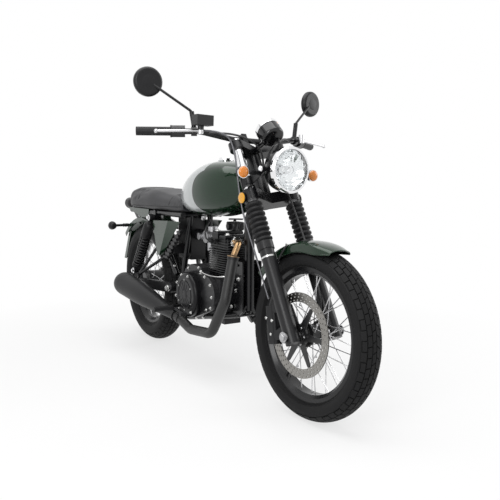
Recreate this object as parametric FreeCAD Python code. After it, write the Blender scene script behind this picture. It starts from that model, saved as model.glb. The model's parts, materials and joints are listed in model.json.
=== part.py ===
import FreeCAD, Part
import math
import os

from FreeCAD import Vector as V

# A solo retro motorcycle, upright with its side stand down. Millimetres, +X forward, +Y to the rider's left, +Z up.
# Places are measured from the floor under the rear axle until the finished pieces are shifted.

# Stance and steering
WHEELBASE = 1392.0
RAKE = 29.5
FORK_OFFSET = 40.0
LEG_SPACING = 194.0
STEER_PARKED = 4.6
STEER_LOCK = 38.0
LENGTH_SHIFT = 666.8

# Clearances
SEAT_GAP = 0.2
PIN_GAP = 0.3
RUNNING_GAP = 6.0
OVERRUN = 4.0

# Front wheel
FRONT_TYRE_RADIUS = 308.0
FRONT_TYRE_WIDTH = 100.0
FRONT_BEAD_RADIUS = 228.6
FRONT_RIM_WIDTH = 54.0

# Rear wheel
REAR_TYRE_RADIUS = 314.0
TYRE_FLAT_SHARE = 0.2
REAR_TYRE_WIDTH = 118.0
REAR_BEAD_RADIUS = 215.9
REAR_RIM_WIDTH = 64.0

# Both rims
FLANGE_HEIGHT = 12.0
FLANGE_THICKNESS = 4.0
RIM_DEPTH = 16.5
RIM_WELL_WIDTH = 40.0

# Spokes
SPOKE_COUNT = 36
SPOKE_RADIUS = 1.8
SPOKE_LEAN = 58.0
SPOKE_SEAT = 0.7
SPOKE_RIM_SPREAD = 8.0

# Hubs
AXLE_RADIUS = 8.5
AXLE_BORE_RADIUS = 6.0
HUB_FLANGE_RADIUS = 44.0
HUB_FLANGE_THICKNESS = 6.0
HUB_BARREL_RADIUS = 28.0
FRONT_HUB_FLANGES = 70.0
FRONT_HUB_WIDTH = 108.0
REAR_HUB_FLANGES = 96.0
REAR_HUB_WIDTH = 130.0
REAR_HUB_FLANGE_RADIUS = 62.0
REAR_HUB_BARREL_RADIUS = 52.0

# Front brake
DISC_RADIUS = 150.0
DISC_INNER_RADIUS = 116.5
DISC_THICKNESS = 4.5
DISC_SIDE = -60.0
CARRIER_ARMS = 6
CARRIER_ROOT_RADIUS = 40.0
CARRIER_ARM_WIDTH = 15.0
CALIPER_BACK = 106.0
CALIPER_UP = 77.0
CALIPER_LENGTH = 138.0
CALIPER_DEPTH = 52.0
CALIPER_SLOT_MARGIN = 5.0
CALIPER_OUTER_WALL = 24.0
CALIPER_INNER_WALL = 10.0

# Fork, heights along the legs from the front axle
SLIDER_RADIUS = 27.0
SLIDER_BOTTOM = -28.0
SLIDER_TOP = 356.0
SLIDER_COLLAR_RADIUS = 31.0
SLIDER_COLLAR_HEIGHT = 30.0
STANCHION_RADIUS = 18.5
STANCHION_BOTTOM = 220.0
STANCHION_TOP = 786.0
GAITER_TOP = 516.0
GAITER_RADIUS = 33.5
GAITER_NECK_RADIUS = 25.5
GAITER_RIBS = 8
LOWER_CLAMP_BOTTOM = 524.0
LOWER_CLAMP_HEIGHT = 44.0
UPPER_CLAMP_BOTTOM = 744.0
UPPER_CLAMP_HEIGHT = 30.0
CLAMP_EYE_RADIUS = 30.0
STEM_RADIUS = 14.0
STEM_BOSS_RADIUS = 30.0

# Front mudguard
FRONT_GUARD_RADIUS = 330.0
FRONT_GUARD_WIDTH = 120.0
FRONT_GUARD_SKIRT = 50.0
FRONT_GUARD_START_ANGLE = 79.0
FRONT_GUARD_SWEEP_ANGLE = 64.0
GUARD_THICKNESS = 2.5

# Handlebar, in the fork's own frame for its clamps and level with the floor for its ends
BAR_RADIUS = 11.0
BAR_AHEAD = -14.0
BAR_ABOVE_CLAMP = 27.0
BAR_CLAMP_SPREAD = 48.0
BAR_KNEE_Y = 95.0
BAR_SHOULDER_Y = 225.0
BAR_SHOULDER_BACK = 30.0
BAR_SHOULDER_RISE = 22.0
BAR_END_Y = 425.0
BAR_END_BACK = 151.0
BAR_END_RISE = 14.0
GRIP_RADIUS = 16.5
GRIP_LENGTH = 128.0
GRIP_FLANGE_RADIUS = 23.0
GRIP_FLANGE_THICKNESS = 5.0

# Lamps and gauge
HEADLAMP_RADIUS = 86.0
HEADLAMP_X = 1239.0
HEADLAMP_Z = 884.0
HEADLAMP_DEPTH = 125.0
HEADLAMP_RING_DEPTH = 18.0
SIGNAL_RADIUS = 22.5
SIGNAL_LENGTH = 42.0
SIGNAL_SPREAD = 165.0
SIGNAL_X = 1158.0
SIGNAL_Z = 870.0
GAUGE_RADIUS = 45.0
GAUGE_DEPTH = 60.0
GAUGE_X = 1101.0
GAUGE_Z = 1022.0
GAUGE_TILT = 50.0

# Mirrors
MIRROR_RADIUS = 55.0
MIRROR_DEPTH = 20.0
MIRROR_X = 862.0
MIRROR_Y = 398.0
MIRROR_Z = 1195.0
MIRROR_STALK_RADIUS = 5.0
MIRROR_BEND_RISE = 60.0
MIRROR_TURN_ANGLE = 11.0

# Frame
TUBE_RADIUS = 21.0
HEADSTOCK_RADIUS = 28.0
RAIL_RADIUS = 13.0
CRADLE_Y = 58.0
CRADLE_REAR_X = 504.0
CRADLE_REAR_Z = 211.0
CRADLE_FRONT_X = 866.0
CRADLE_FRONT_Z = 283.0
DOWN_TUBE_X = 966.0
DOWN_TUBE_FOOT_Z = 318.0
MOUNT_PLATE_Y = 41.0
MOUNT_PLATE_THICKNESS = 5.0
MOUNT_PLATE_TOP = 520.0
MOUNT_BOLT_RADIUS = 5.0
PIVOT_X = 462.0
PIVOT_Z = 348.0
PIVOT_RADIUS = 9.0
POST_Y = 62.0
SEAT_RAIL_Y = 95.0
SEAT_RAIL_Z = 688.0
SEAT_RAIL_END_X = -70.0

# Rear suspension
ARM_INNER_Y = 98.0
ARM_WIDTH = 28.0
ARM_HEIGHT = 46.0
SHOCK_Y = 127.0
SHOCK_LOW_X = 48.0
SHOCK_LOW_Z = 380.0
SHOCK_TOP_X = 262.0
SHOCK_TOP_Z = 664.0
SPRING_RADIUS = 28.0
SHOCK_EYE_RADIUS = 14.0
SHOCK_STUD_RADIUS = 6.0

# Chain drive
CHAIN_Y = 85.0
CHAIN_WIDTH = 14.0
CHAIN_HEIGHT = 13.0
REAR_PITCH_RADIUS = 84.0
FRONT_PITCH_RADIUS = 36.0
FRONT_SPROCKET_X = 562.0
FRONT_SPROCKET_Z = 338.0
SPROCKET_THICKNESS = 7.0

# Engine
CASE_REAR_X = 520.0
CASE_FRONT_X = 926.0
CASE_HALF_WIDTH = 95.0
CASE_NOSE_LENGTH = 34.0
COVER_X = 672.0
COVER_Z = 350.0
COVER_RADIUS = 98.0
COVER_DEPTH = 24.0
COVER_FRONT_X = 812.0
COVER_FRONT_Z = 372.0
COVER_FRONT_RADIUS = 75.0
DOME_DEPTH = 31.0
DOME_GROOVE_RADIUS = 66.0
CYLINDER_X = 820.0
CYLINDER_BOTTOM = 448.0
CYLINDER_TOP = 560.0
FIN_LENGTH = 180.0
FIN_WIDTH = 146.0
FIN_THICKNESS = 3.5
FIN_COUNT = 12
BARREL_RADIUS = 60.0
HEAD_TOP = 604.0
HEAD_LENGTH = 150.0
HEAD_WIDTH = 124.0
ROCKER_BOX_LENGTH = 52.0
ROCKER_BOX_HEIGHT = 34.0

# Exhaust
HEADER_RADIUS = 12.0
PIPE_RADIUS = 21.0
PIPE_FLANGE = 4.0
COLLAR_X = 990.0
COLLAR_Y = -88.0
COLLAR_Z = 548.0
PIPE_KNEE_Y = -126.0
PIPE_KNEE_Z = 372.0
PIPE_HEEL_X = 905.0
PIPE_HEEL_Y = -143.0
PIPE_HEEL_Z = 224.0
PIPE_LOW_X = 735.0
PIPE_LOW_Y = -153.0
PIPE_LOW_Z = 210.0
MUFFLER_RADIUS = 57.0
MUFFLER_WALL = 2.0
MUFFLER_END_X = 44.0
MUFFLER_END_Y = -206.0
MUFFLER_END_Z = 330.0
MUFFLER_START_X = 600.0
MUFFLER_START_Y = -160.0
MUFFLER_START_Z = 246.0
HANGER_X = 184.0
HANGER_Y = -165.0
HANGER_Z = 378.0

# Tank and seat
TANK_REAR_X = 482.0
TANK_LENGTH = 500.0
TANK_HALF_WIDTH = 136.0
TANK_TOP = 924.0
TANK_BOTTOM = 690.0
TANK_TUNNEL_WIDTH = 70.0
SEAT_REAR_X = -112.0
ACROSS_REACH = 150.0
SEAT_LENGTH = 668.0
SEAT_HALF_WIDTH = 128.0
SEAT_TOP = 800.0

# Rear mudguard and lamps
REAR_GUARD_RADIUS = 352.0
REAR_GUARD_WIDTH = 150.0
REAR_GUARD_SKIRT = 40.0
REAR_GUARD_START_ANGLE = 55.0
REAR_GUARD_SWEEP_ANGLE = 80.0
REAR_SIGNAL_X = -187.0
REAR_SIGNAL_Z = 598.0
TAIL_LAMP_END_X = -368.0
TAIL_LAMP_Z = 712.0
TAIL_LAMP_LENGTH = 84.0
TAIL_LAMP_RADIUS = 30.0

# Footrests and pedals
PEG_X = 622.0
PEG_Z = 288.0
PEG_RADIUS = 12.0
PEG_ROOT_Y = 188.0
PEG_TIP_Y = 275.0
PEG_CARRIER_RADIUS = 8.0
PEG_FOOT_X = 528.0
PEG_ELBOW_Y = 170.0
PEDAL_X = 722.0
PEDAL_Z = 276.0
PEDAL_RADIUS = 5.0

# Side stand
STAND_PIVOT_X = 850.0
STAND_PIVOT_Y = 92.0
STAND_PIVOT_Z = 254.0
STAND_FOOT_AHEAD = 66.0
STAND_FOOT_Y = 232.0
STAND_LEG_RADIUS = 10.0
STAND_BOLT_RADIUS = 5.0
STAND_STOWED_OUT_SHARE = 0.16
STAND_STOWED_DOWN_SHARE = 0.14


FRONT_AXLE = V(WHEELBASE, 0, FRONT_TYRE_RADIUS)
REAR_AXLE = V(0, 0, REAR_TYRE_RADIUS)
LEG_Y = LEG_SPACING / 2
FORK = FreeCAD.Placement(FRONT_AXLE, FreeCAD.Rotation(V(0, 1, 0), -RAKE))


def fork_point(ahead, y, up):
    """A point given ahead of the legs and up along them, in the bike's frame, straight ahead."""
    return FORK.multVec(V(ahead, y, up))


STEER_POINT = fork_point(-FORK_OFFSET, 0, 0)
STEER_AXIS = fork_point(-FORK_OFFSET, 0, 1) - STEER_POINT
TURN = FreeCAD.Placement(V(0, 0, 0), FreeCAD.Rotation(STEER_AXIS, STEER_PARKED), STEER_POINT)
TO_ORIGIN = FreeCAD.Placement(V(-LENGTH_SHIFT, 0, 0), FreeCAD.Rotation())


# Helpers

def moved(shape, placement):
    result = shape.copy()
    result.Placement = placement.multiply(result.Placement)
    return result


def on_fork(shape):
    return moved(shape, FORK)


def mirrored(shape):
    return shape.mirror(V(0, 0, 0), V(0, 1, 0))


def both_sides(shape):
    return Part.makeCompound([shape, mirrored(shape)])


def fused(shapes):
    first, rest = shapes[0], shapes[1:]
    return first.multiFuse(rest).removeSplitter() if rest else first


def rod(start, end, radius):
    """A solid round bar between two points."""
    return Part.makeCylinder(radius, start.distanceToPoint(end), start, end - start)


def across(x, z, y_start, y_end, radius):
    """A round bar across the bike."""
    return rod(V(x, y_start, z), V(x, y_end, z), radius)


def block(x_range, y_range, z_range):
    corner = V(x_range[0], y_range[0], z_range[0])
    return Part.makeBox(
        x_range[1] - x_range[0], y_range[1] - y_range[0], z_range[1] - z_range[0], corner
    )


def corner_arc(before, corner, after, radius):
    """Start, middle and end of the arc that rounds a corner, never past half of either side."""
    to_before = (before - corner).normalize()
    to_after = (after - corner).normalize()
    half = to_before.getAngle(to_after) / 2
    room = min(before.distanceToPoint(corner), after.distanceToPoint(corner)) / 2.05
    reach = min(radius / math.tan(half), room)
    radius = reach * math.tan(half)
    bisector = (to_before + to_after).normalize()
    middle = corner + bisector * (radius / math.sin(half) - radius)
    return corner + to_before * reach, middle, corner + to_after * reach


def rounded_path(points, radius, closed=False):
    """A wire of straight runs joined by tangent arcs."""
    count = len(points)
    corners = range(count) if closed else range(1, count - 1)
    arcs = {
        i: corner_arc(points[i - 1], points[i], points[(i + 1) % count], radius) for i in corners
    }
    edges = []
    for i in range(count if closed else count - 1):
        j = (i + 1) % count
        start = arcs[i][2] if i in arcs else points[i]
        end = arcs[j][0] if j in arcs else points[j]
        edges.append(Part.LineSegment(start, end).toShape())
        if j in arcs:
            edges.append(Part.Arc(*arcs[j]).toShape())
    return Part.Wire(edges)


def bent_tube(points, radius, bend):
    """A round tube along straight runs and tangent bends."""
    path = rounded_path(points, bend)
    section = Part.Wire(Part.makeCircle(radius, points[0], points[1] - points[0]))
    return path.makePipeShell([section], True, False)


def side_plate(outline, radius, y_start, y_end):
    """A plate across the bike from an outline of x and z pairs with rounded corners."""
    wire = rounded_path([V(x, y_start, z) for x, z in outline], radius, closed=True)
    return Part.Face(wire).extrude(V(0, y_end - y_start, 0))


def turned_about_y(profile, centre):
    """A ring turned about an axle from pairs of distance along it and radius."""
    points = [V(centre.x, centre.y + y, centre.z + r) for y, r in profile]
    wire = Part.makePolygon(points + points[:1])
    return Part.Face(wire).revolve(centre, V(0, 1, 0), 360)


def link_plate(start, start_radius, end, end_radius, normal, thickness):
    """A flat link with a round eye at each end, joined by their outer tangents."""
    along = end - start
    lean = math.asin((start_radius - end_radius) / along.Length)
    along.normalize()
    side = normal.cross(along)
    up = along * math.sin(lean) + side * math.cos(lean)
    down = along * math.sin(lean) - side * math.cos(lean)
    top = Part.LineSegment(start + up * start_radius, end + up * end_radius).toShape()
    bottom = Part.LineSegment(end + down * end_radius, start + down * start_radius).toShape()
    nose = Part.Arc(end + up * end_radius, end + along * end_radius, end + down * end_radius)
    tail = Part.Arc(start + down * start_radius, start - along * start_radius, start + up * start_radius)
    outline = Part.Wire([top, nose.toShape(), bottom, tail.toShape()])
    return Part.Face(outline).extrude(normal * thickness)


def turned_about_x(profile, centre):
    """A form turned about a lengthwise axis from pairs of distance ahead and radius."""
    points = [V(centre.x + x, centre.y, centre.z + r) for x, r in profile]
    wire = Part.makePolygon(points + points[:1])
    return Part.Face(wire).revolve(centre, V(1, 0, 0), 360)


def turned_between(start, end, profile):
    """A form turned about the line between two points from pairs of share along it and radius."""
    length = start.distanceToPoint(end)
    points = [V(r, 0, length * share) for share, r in profile]
    wire = Part.makePolygon(points + points[:1])
    solid = Part.Face(wire).revolve(V(0, 0, 0), V(0, 0, 1), 360)
    return moved(solid, FreeCAD.Placement(start, FreeCAD.Rotation(V(0, 0, 1), end - start)))


# Wheels

def tyre(centre, radius, width, bead_radius, rim_width, parked):
    """A round-shouldered tyre whose beads sit between the rim's flanges; its loaded crown lies flat on the floor."""
    bead = rim_width / 2
    flange_top = bead_radius + FLANGE_HEIGHT
    wall = radius - flange_top
    shoulder = V(0, 0.43 * width, radius - 0.3 * wall)

    def at(y, r):
        return V(centre.x, centre.y + y, centre.z + r)

    def half(sign):
        flank = Part.Arc(
            at(sign * bead, flange_top + SEAT_GAP),
            at(sign * width / 2, flange_top + 0.42 * wall),
            at(sign * shoulder.y, shoulder.z),
        )
        step = Part.LineSegment(at(sign * bead, bead_radius), at(sign * bead, flange_top + SEAT_GAP))
        return [step.toShape(), flank.toShape()]

    flat = width * TYRE_FLAT_SHARE
    lean = parked.Rotation.multVec(V(0, 1, 0)).z
    height = parked.multVec(centre).z

    def crown(sign):
        edge = (height + sign * lean * flat) / math.sqrt(1 - lean**2)
        drop = edge - shoulder.z
        curve = ((shoulder.y - flat) ** 2 + drop**2) / (2 * drop)
        turn = math.asin((shoulder.y - flat) / curve) / 2
        start = at(sign * flat, edge)
        middle = at(sign * (flat + curve * math.sin(turn)), edge - curve * (1 - math.cos(turn)))
        return start, Part.Arc(start, middle, at(sign * shoulder.y, shoulder.z)).toShape()

    (left, left_crown), (right, right_crown) = crown(1), crown(-1)
    patch = Part.LineSegment(right, left).toShape()
    seat = Part.LineSegment(at(-bead, bead_radius), at(bead, bead_radius)).toShape()
    wire = Part.Wire(Part.__sortEdges__(half(1) + half(-1) + [left_crown, right_crown, patch, seat]))
    return Part.Face(wire).revolve(centre, V(0, 1, 0), 360)


def rim(centre, bead_radius, rim_width):
    inner = rim_width / 2 + SEAT_GAP
    outer = inner + FLANGE_THICKNESS
    seat = bead_radius - SEAT_GAP
    top = bead_radius + FLANGE_HEIGHT
    well = bead_radius - RIM_DEPTH
    half = [(inner, seat), (inner, top), (outer, top), (outer, seat - FLANGE_THICKNESS)]
    half.append((RIM_WELL_WIDTH / 2, well))
    return turned_about_y(half + [(-y, r) for y, r in reversed(half)], centre)


def hub_body(centre, width, flanges, flange_radius, barrel_radius):
    """A hub turned about the axle, bored for it, with a flange each side."""
    bore = AXLE_RADIUS + PIN_GAP
    flange_in = flanges / 2 - HUB_FLANGE_THICKNESS
    half = [
        (width / 2, bore),
        (width / 2, barrel_radius - HUB_FLANGE_THICKNESS),
        (flanges / 2, barrel_radius),
        (flanges / 2, flange_radius),
        (flange_in, flange_radius),
        (flange_in, barrel_radius),
    ]
    return turned_about_y(half + [(-y, r) for y, r in reversed(half)], centre)


def spokes(centre, flanges, flange_radius, rim_radius):
    """Crossed spokes from the flanges' edges to the rim's well."""
    root = flange_radius - HUB_FLANGE_THICKNESS
    flange_y = (flanges - HUB_FLANGE_THICKNESS) / 2
    result = []
    for i in range(SPOKE_COUNT):
        side = 1 if i % 2 else -1
        lean = SPOKE_LEAN if i % 4 < 2 else -SPOKE_LEAN
        out = math.radians(i * 360 / SPOKE_COUNT)
        start = out + math.radians(lean)
        end = rim_radius - SPOKE_SEAT
        result.append(
            rod(
                centre + V(root * math.cos(start), side * flange_y, root * math.sin(start)),
                centre + V(end * math.cos(out), side * SPOKE_RIM_SPREAD, end * math.sin(out)),
                SPOKE_RADIUS,
            )
        )
    return result


def disc_carrier():
    """The black spider that carries the brake disc on the hub's right."""
    y_face = DISC_SIDE - DISC_THICKNESS / 2
    centre = V(FRONT_AXLE.x, y_face, FRONT_AXLE.z)
    root = Part.makeCylinder(CARRIER_ROOT_RADIUS, -y_face - FRONT_HUB_WIDTH / 2, centre, V(0, 1, 0))
    tip = DISC_INNER_RADIUS - SEAT_GAP - CARRIER_ARM_WIDTH / 2
    arms = []
    for i in range(CARRIER_ARMS):
        angle = math.radians(i * 360 / CARRIER_ARMS)
        out = V(math.cos(angle), 0, math.sin(angle))
        start = centre + out * (CARRIER_ROOT_RADIUS - CARRIER_ARM_WIDTH)
        arm = link_plate(
            start, CARRIER_ARM_WIDTH, centre + out * tip, CARRIER_ARM_WIDTH / 2, V(0, 1, 0), DISC_THICKNESS
        )
        arms.append(arm)
    spider = fused([root] + arms)
    bore = Part.makeCylinder(AXLE_RADIUS * 2, DISC_RADIUS, centre - V(0, OVERRUN, 0), V(0, 1, 0))
    return spider.cut(bore)


def front_hub():
    body = hub_body(
        FRONT_AXLE, FRONT_HUB_WIDTH, FRONT_HUB_FLANGES, HUB_FLANGE_RADIUS, HUB_BARREL_RADIUS
    )
    laced = spokes(FRONT_AXLE, FRONT_HUB_FLANGES, HUB_FLANGE_RADIUS, FRONT_BEAD_RADIUS - RIM_DEPTH)
    return fused([body, disc_carrier()] + laced)


def rear_hub():
    body = hub_body(
        REAR_AXLE, REAR_HUB_WIDTH, REAR_HUB_FLANGES, REAR_HUB_FLANGE_RADIUS, REAR_HUB_BARREL_RADIUS
    )
    laced = spokes(
        REAR_AXLE, REAR_HUB_FLANGES, REAR_HUB_FLANGE_RADIUS, REAR_BEAD_RADIUS - RIM_DEPTH
    )
    return fused([body] + laced)


def brake_disc():
    inner = DISC_SIDE - DISC_THICKNESS / 2
    outer = DISC_SIDE + DISC_THICKNESS / 2
    profile = [
        (inner, DISC_INNER_RADIUS), (inner, DISC_RADIUS), (outer, DISC_RADIUS), (outer, DISC_INNER_RADIUS)
    ]
    return turned_about_y(profile, FRONT_AXLE)


def rear_sprocket():
    inner = CHAIN_Y - SPROCKET_THICKNESS / 2
    tip = REAR_PITCH_RADIUS - CHAIN_HEIGHT / 2 - 1.5 * PIN_GAP
    start = REAR_HUB_WIDTH / 2
    bore = AXLE_RADIUS + PIN_GAP
    neck = REAR_HUB_BARREL_RADIUS / 2
    profile = [
        (start, bore), (start, neck), (inner, neck), (inner, tip),
        (inner + SPROCKET_THICKNESS, tip), (inner + SPROCKET_THICKNESS, bore),
    ]
    return turned_about_y(profile, REAR_AXLE)


def axle(centre, half_length, shoulders):
    """A hollow axle with a nut at each end and a spacer ring each side of the hub."""
    nut = AXLE_RADIUS * 1.6
    half = [(half_length, AXLE_BORE_RADIUS), (half_length, nut), (half_length - AXLE_RADIUS, nut)]
    half.append((half_length - AXLE_RADIUS, AXLE_RADIUS))
    for start, end in shoulders:
        half += [(end, AXLE_RADIUS), (end, nut), (start, nut), (start, AXLE_RADIUS)]
    return turned_about_y(half + [(-y, r) for y, r in reversed(half)], centre)


def front_axle():
    outside = LEG_Y + SLIDER_RADIUS + AXLE_RADIUS + SEAT_GAP
    spacer = (CARRIER_SPACER_Y, LEG_Y - SLIDER_RADIUS - SEAT_GAP)
    return axle(FRONT_AXLE, outside, [spacer])


def rear_axle():
    outside = ARM_INNER_Y + ARM_WIDTH + AXLE_RADIUS + SEAT_GAP
    spacer = (CHAIN_Y + SPROCKET_THICKNESS / 2 + PIN_GAP, ARM_INNER_Y - SEAT_GAP)
    return axle(REAR_AXLE, outside, [spacer])


CARRIER_SPACER_Y = DISC_THICKNESS / 2 - DISC_SIDE + PIN_GAP


# Fork, built along its own legs

def leg_bar(y, bottom, top, radius):
    return rod(V(0, y, bottom), V(0, y, top), radius)


def fork_sliders():
    collar = leg_bar(-LEG_Y, SLIDER_TOP - SLIDER_COLLAR_HEIGHT, SLIDER_TOP, SLIDER_COLLAR_RADIUS)
    leg = fused([leg_bar(-LEG_Y, SLIDER_BOTTOM, SLIDER_TOP, SLIDER_RADIUS), collar])
    bore = leg_bar(-LEG_Y, STANCHION_BOTTOM - OVERRUN, SLIDER_TOP + OVERRUN, STANCHION_RADIUS + SEAT_GAP)
    axle_hole = rod(
        V(0, -LEG_Y - SLIDER_RADIUS * 2, 0), V(0, SLIDER_RADIUS * 2 - LEG_Y, 0), AXLE_RADIUS + SEAT_GAP
    )
    return on_fork(both_sides(leg.cut(bore).cut(axle_hole)))


def stanchions():
    return on_fork(both_sides(leg_bar(-LEG_Y, STANCHION_BOTTOM, STANCHION_TOP, STANCHION_RADIUS)))


def fork_gaiters():
    """A ribbed rubber boot over each upper leg, hollow inside."""
    bottom = SLIDER_TOP + SEAT_GAP
    pitch = (GAITER_TOP - bottom) / GAITER_RIBS
    bore = STANCHION_RADIUS + PIN_GAP
    profile = [(bore, bottom)]
    for i in range(GAITER_RIBS):
        low = bottom + i * pitch
        profile += [(GAITER_NECK_RADIUS, low), (GAITER_RADIUS, low + 0.35 * pitch)]
        profile.append((GAITER_RADIUS, low + 0.65 * pitch))
    profile += [(GAITER_NECK_RADIUS, GAITER_TOP), (bore, GAITER_TOP)]
    points = [V(r, -LEG_Y, z) for r, z in profile]
    face = Part.Face(Part.makePolygon(points + points[:1]))
    return on_fork(both_sides(face.revolve(V(0, -LEG_Y, 0), V(0, 0, 1), 360)))


def clamp_yoke(bottom, height):
    """One yoke: an eye round each leg and a boss round the steering stem."""
    stem = V(-FORK_OFFSET, 0, bottom)
    parts = [Part.makeCylinder(STEM_BOSS_RADIUS, height, stem)]
    for y in (-LEG_Y, LEG_Y):
        arm = link_plate(
            V(0, y, bottom), CLAMP_EYE_RADIUS, stem, STEM_BOSS_RADIUS * 0.9, V(0, 0, 1), height
        )
        parts.append(arm)
    yoke = fused(parts)
    for y in (-LEG_Y, LEG_Y):
        yoke = yoke.cut(leg_bar(y, bottom - OVERRUN, bottom + height + OVERRUN, STANCHION_RADIUS + SEAT_GAP))
    return yoke


def bar_clamp(y):
    """A riser on the upper yoke that holds the handlebar."""
    width = BAR_RADIUS * 2
    top = UPPER_CLAMP_BOTTOM + UPPER_CLAMP_HEIGHT
    half = BAR_RADIUS * 1.7
    ahead = (BAR_AHEAD - half, BAR_AHEAD + half)
    riser = block(ahead, (y - width / 2, y + width / 2), (top - OVERRUN, BAR_HEIGHT + half))
    hole = rod(V(BAR_AHEAD, y - width, BAR_HEIGHT), V(BAR_AHEAD, y + width, BAR_HEIGHT), BAR_RADIUS + SEAT_GAP)
    return riser.cut(hole)


def fork_clamps():
    lower = clamp_yoke(LOWER_CLAMP_BOTTOM, LOWER_CLAMP_HEIGHT)
    upper = clamp_yoke(UPPER_CLAMP_BOTTOM, UPPER_CLAMP_HEIGHT)
    stem = rod(
        V(-FORK_OFFSET, 0, LOWER_CLAMP_BOTTOM), V(-FORK_OFFSET, 0, STANCHION_TOP), STEM_RADIUS
    )
    risers = [bar_clamp(BAR_CLAMP_SPREAD), bar_clamp(-BAR_CLAMP_SPREAD)]
    return on_fork(fused([lower, upper, stem] + risers))


# Handlebar and what it carries

BAR_HEIGHT = UPPER_CLAMP_BOTTOM + UPPER_CLAMP_HEIGHT + BAR_ABOVE_CLAMP
BAR_MIDDLE = fork_point(BAR_AHEAD, 0, BAR_HEIGHT)


def bar_point(y, back, rise):
    return BAR_MIDDLE + V(-back, y, rise)


BAR_SHOULDER = bar_point(-BAR_SHOULDER_Y, BAR_SHOULDER_BACK, BAR_SHOULDER_RISE)
BAR_END = bar_point(-BAR_END_Y, BAR_END_BACK, BAR_END_RISE)
BAR_RUN = (BAR_END - BAR_SHOULDER).normalize()


def along_bar(from_end):
    """A point on the right end's straight run, measured inwards from its tip."""
    return BAR_END - BAR_RUN * from_end


def flipped(point):
    return V(point.x, -point.y, point.z)


def bar_tube(radius):
    right = [bar_point(-BAR_KNEE_Y, 0, 0), BAR_SHOULDER, BAR_END]
    points = [flipped(p) for p in reversed(right)] + right
    return bent_tube(points, radius, BAR_RADIUS * 5)


def handlebar():
    return bar_tube(BAR_RADIUS)


def grips():
    inner = along_bar(GRIP_LENGTH)
    sleeve = rod(inner, BAR_END, GRIP_RADIUS)
    flange = rod(inner, inner + BAR_RUN * GRIP_FLANGE_THICKNESS, GRIP_FLANGE_RADIUS)
    weight = rod(BAR_END, BAR_END + BAR_RUN * GRIP_FLANGE_THICKNESS, GRIP_RADIUS)
    bore = rod(inner - BAR_RUN, BAR_END, BAR_RADIUS + SEAT_GAP)
    return both_sides(fused([sleeve, flange]).cut(bore).fuse(weight).removeSplitter())


SWITCH_RADIUS = 22.0
SWITCH_LENGTH = 50.0
PERCH_RADIUS = 17.5
PERCH_LENGTH = 22.0
PERCH_FROM_END = 212.0
LEVER_AHEAD = 48.0
LEVER_EYE_RADIUS = 12.0
LEVER_RADIUS = 5.5
LEVER_TIP_AHEAD = 104.0
LEVER_BALL_RADIUS = 8.0
RESERVOIR_LENGTH = 44.0
RESERVOIR_WIDTH = 70.0
RESERVOIR_HEIGHT = 38.0
RESERVOIR_RISE = 18.0
RESERVOIR_AHEAD = 60.0


def lever_set():
    """A switch housing, a lever perch and the lever, on the right end."""
    switch_end = along_bar(GRIP_LENGTH + SEAT_GAP)
    perch_middle = along_bar(PERCH_FROM_END)
    perch_start = perch_middle - BAR_RUN * (PERCH_LENGTH / 2)
    switch = rod(switch_end - BAR_RUN * SWITCH_LENGTH, switch_end, SWITCH_RADIUS)
    perch = rod(perch_start, perch_start + BAR_RUN * PERCH_LENGTH, PERCH_RADIUS)
    pivot = perch_middle + V(LEVER_AHEAD, 0, 0)
    neck = rod(pivot - V(LEVER_AHEAD, 0, 0), pivot, BAR_RADIUS * 0.8)
    eye = rod(pivot - V(0, 0, BAR_RADIUS), pivot + V(0, 0, RESERVOIR_RISE + OVERRUN), LEVER_EYE_RADIUS)
    tip = along_bar(SWITCH_RADIUS) + V(LEVER_TIP_AHEAD, 0, -LEVER_RADIUS)
    blade = rod(pivot, tip, LEVER_RADIUS)
    ball = Part.makeSphere(LEVER_BALL_RADIUS, tip)
    body = fused([switch, perch, neck, eye, blade, ball])
    return body.cut(bar_tube(BAR_RADIUS + SEAT_GAP))


def reservoir():
    """The brake fluid box on the right perch."""
    centre = along_bar(PERCH_FROM_END) + V(RESERVOIR_AHEAD, 0, 0)
    low = centre + V(-RESERVOIR_LENGTH / 2, -RESERVOIR_WIDTH / 2, RESERVOIR_RISE)
    return Part.makeBox(RESERVOIR_LENGTH, RESERVOIR_WIDTH, RESERVOIR_HEIGHT, low)


def hand_controls():
    right = fused([lever_set(), reservoir()])
    return Part.makeCompound([right, mirrored(lever_set())])


def mirror():
    """A round mirror on its bent stalk, right side."""
    root = along_bar(PERCH_FROM_END)
    foot = root + V(0, 0, PERCH_RADIUS - OVERRUN)
    head = V(MIRROR_X, -MIRROR_Y, MIRROR_Z)
    knee = V(foot.x - MIRROR_STALK_RADIUS, foot.y - MIRROR_STALK_RADIUS * 2, foot.z + MIRROR_BEND_RISE)
    yaw = math.radians(MIRROR_TURN_ANGLE)
    back = V(math.cos(yaw), -math.sin(yaw), 0)
    joint = head + back * (MIRROR_DEPTH / 2) + V(0, MIRROR_RADIUS * 0.35, -MIRROR_RADIUS * 0.2)
    stalk = bent_tube([foot, knee, joint], MIRROR_STALK_RADIUS, MIRROR_STALK_RADIUS * 4)
    boot = rod(foot, knee, MIRROR_STALK_RADIUS * 1.8)
    shell = Part.makeCylinder(MIRROR_RADIUS, MIRROR_DEPTH, head - back * (MIRROR_DEPTH / 2), back)
    shell = shell.makeFillet(MIRROR_DEPTH * 0.6, [shell.Edges[0]])
    perch = rod(root - BAR_RUN * PERCH_LENGTH, root + BAR_RUN * PERCH_LENGTH, PERCH_RADIUS + SEAT_GAP)
    return fused([stalk, boot, shell]).cut(perch)


def mirrors():
    return both_sides(mirror())


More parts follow.
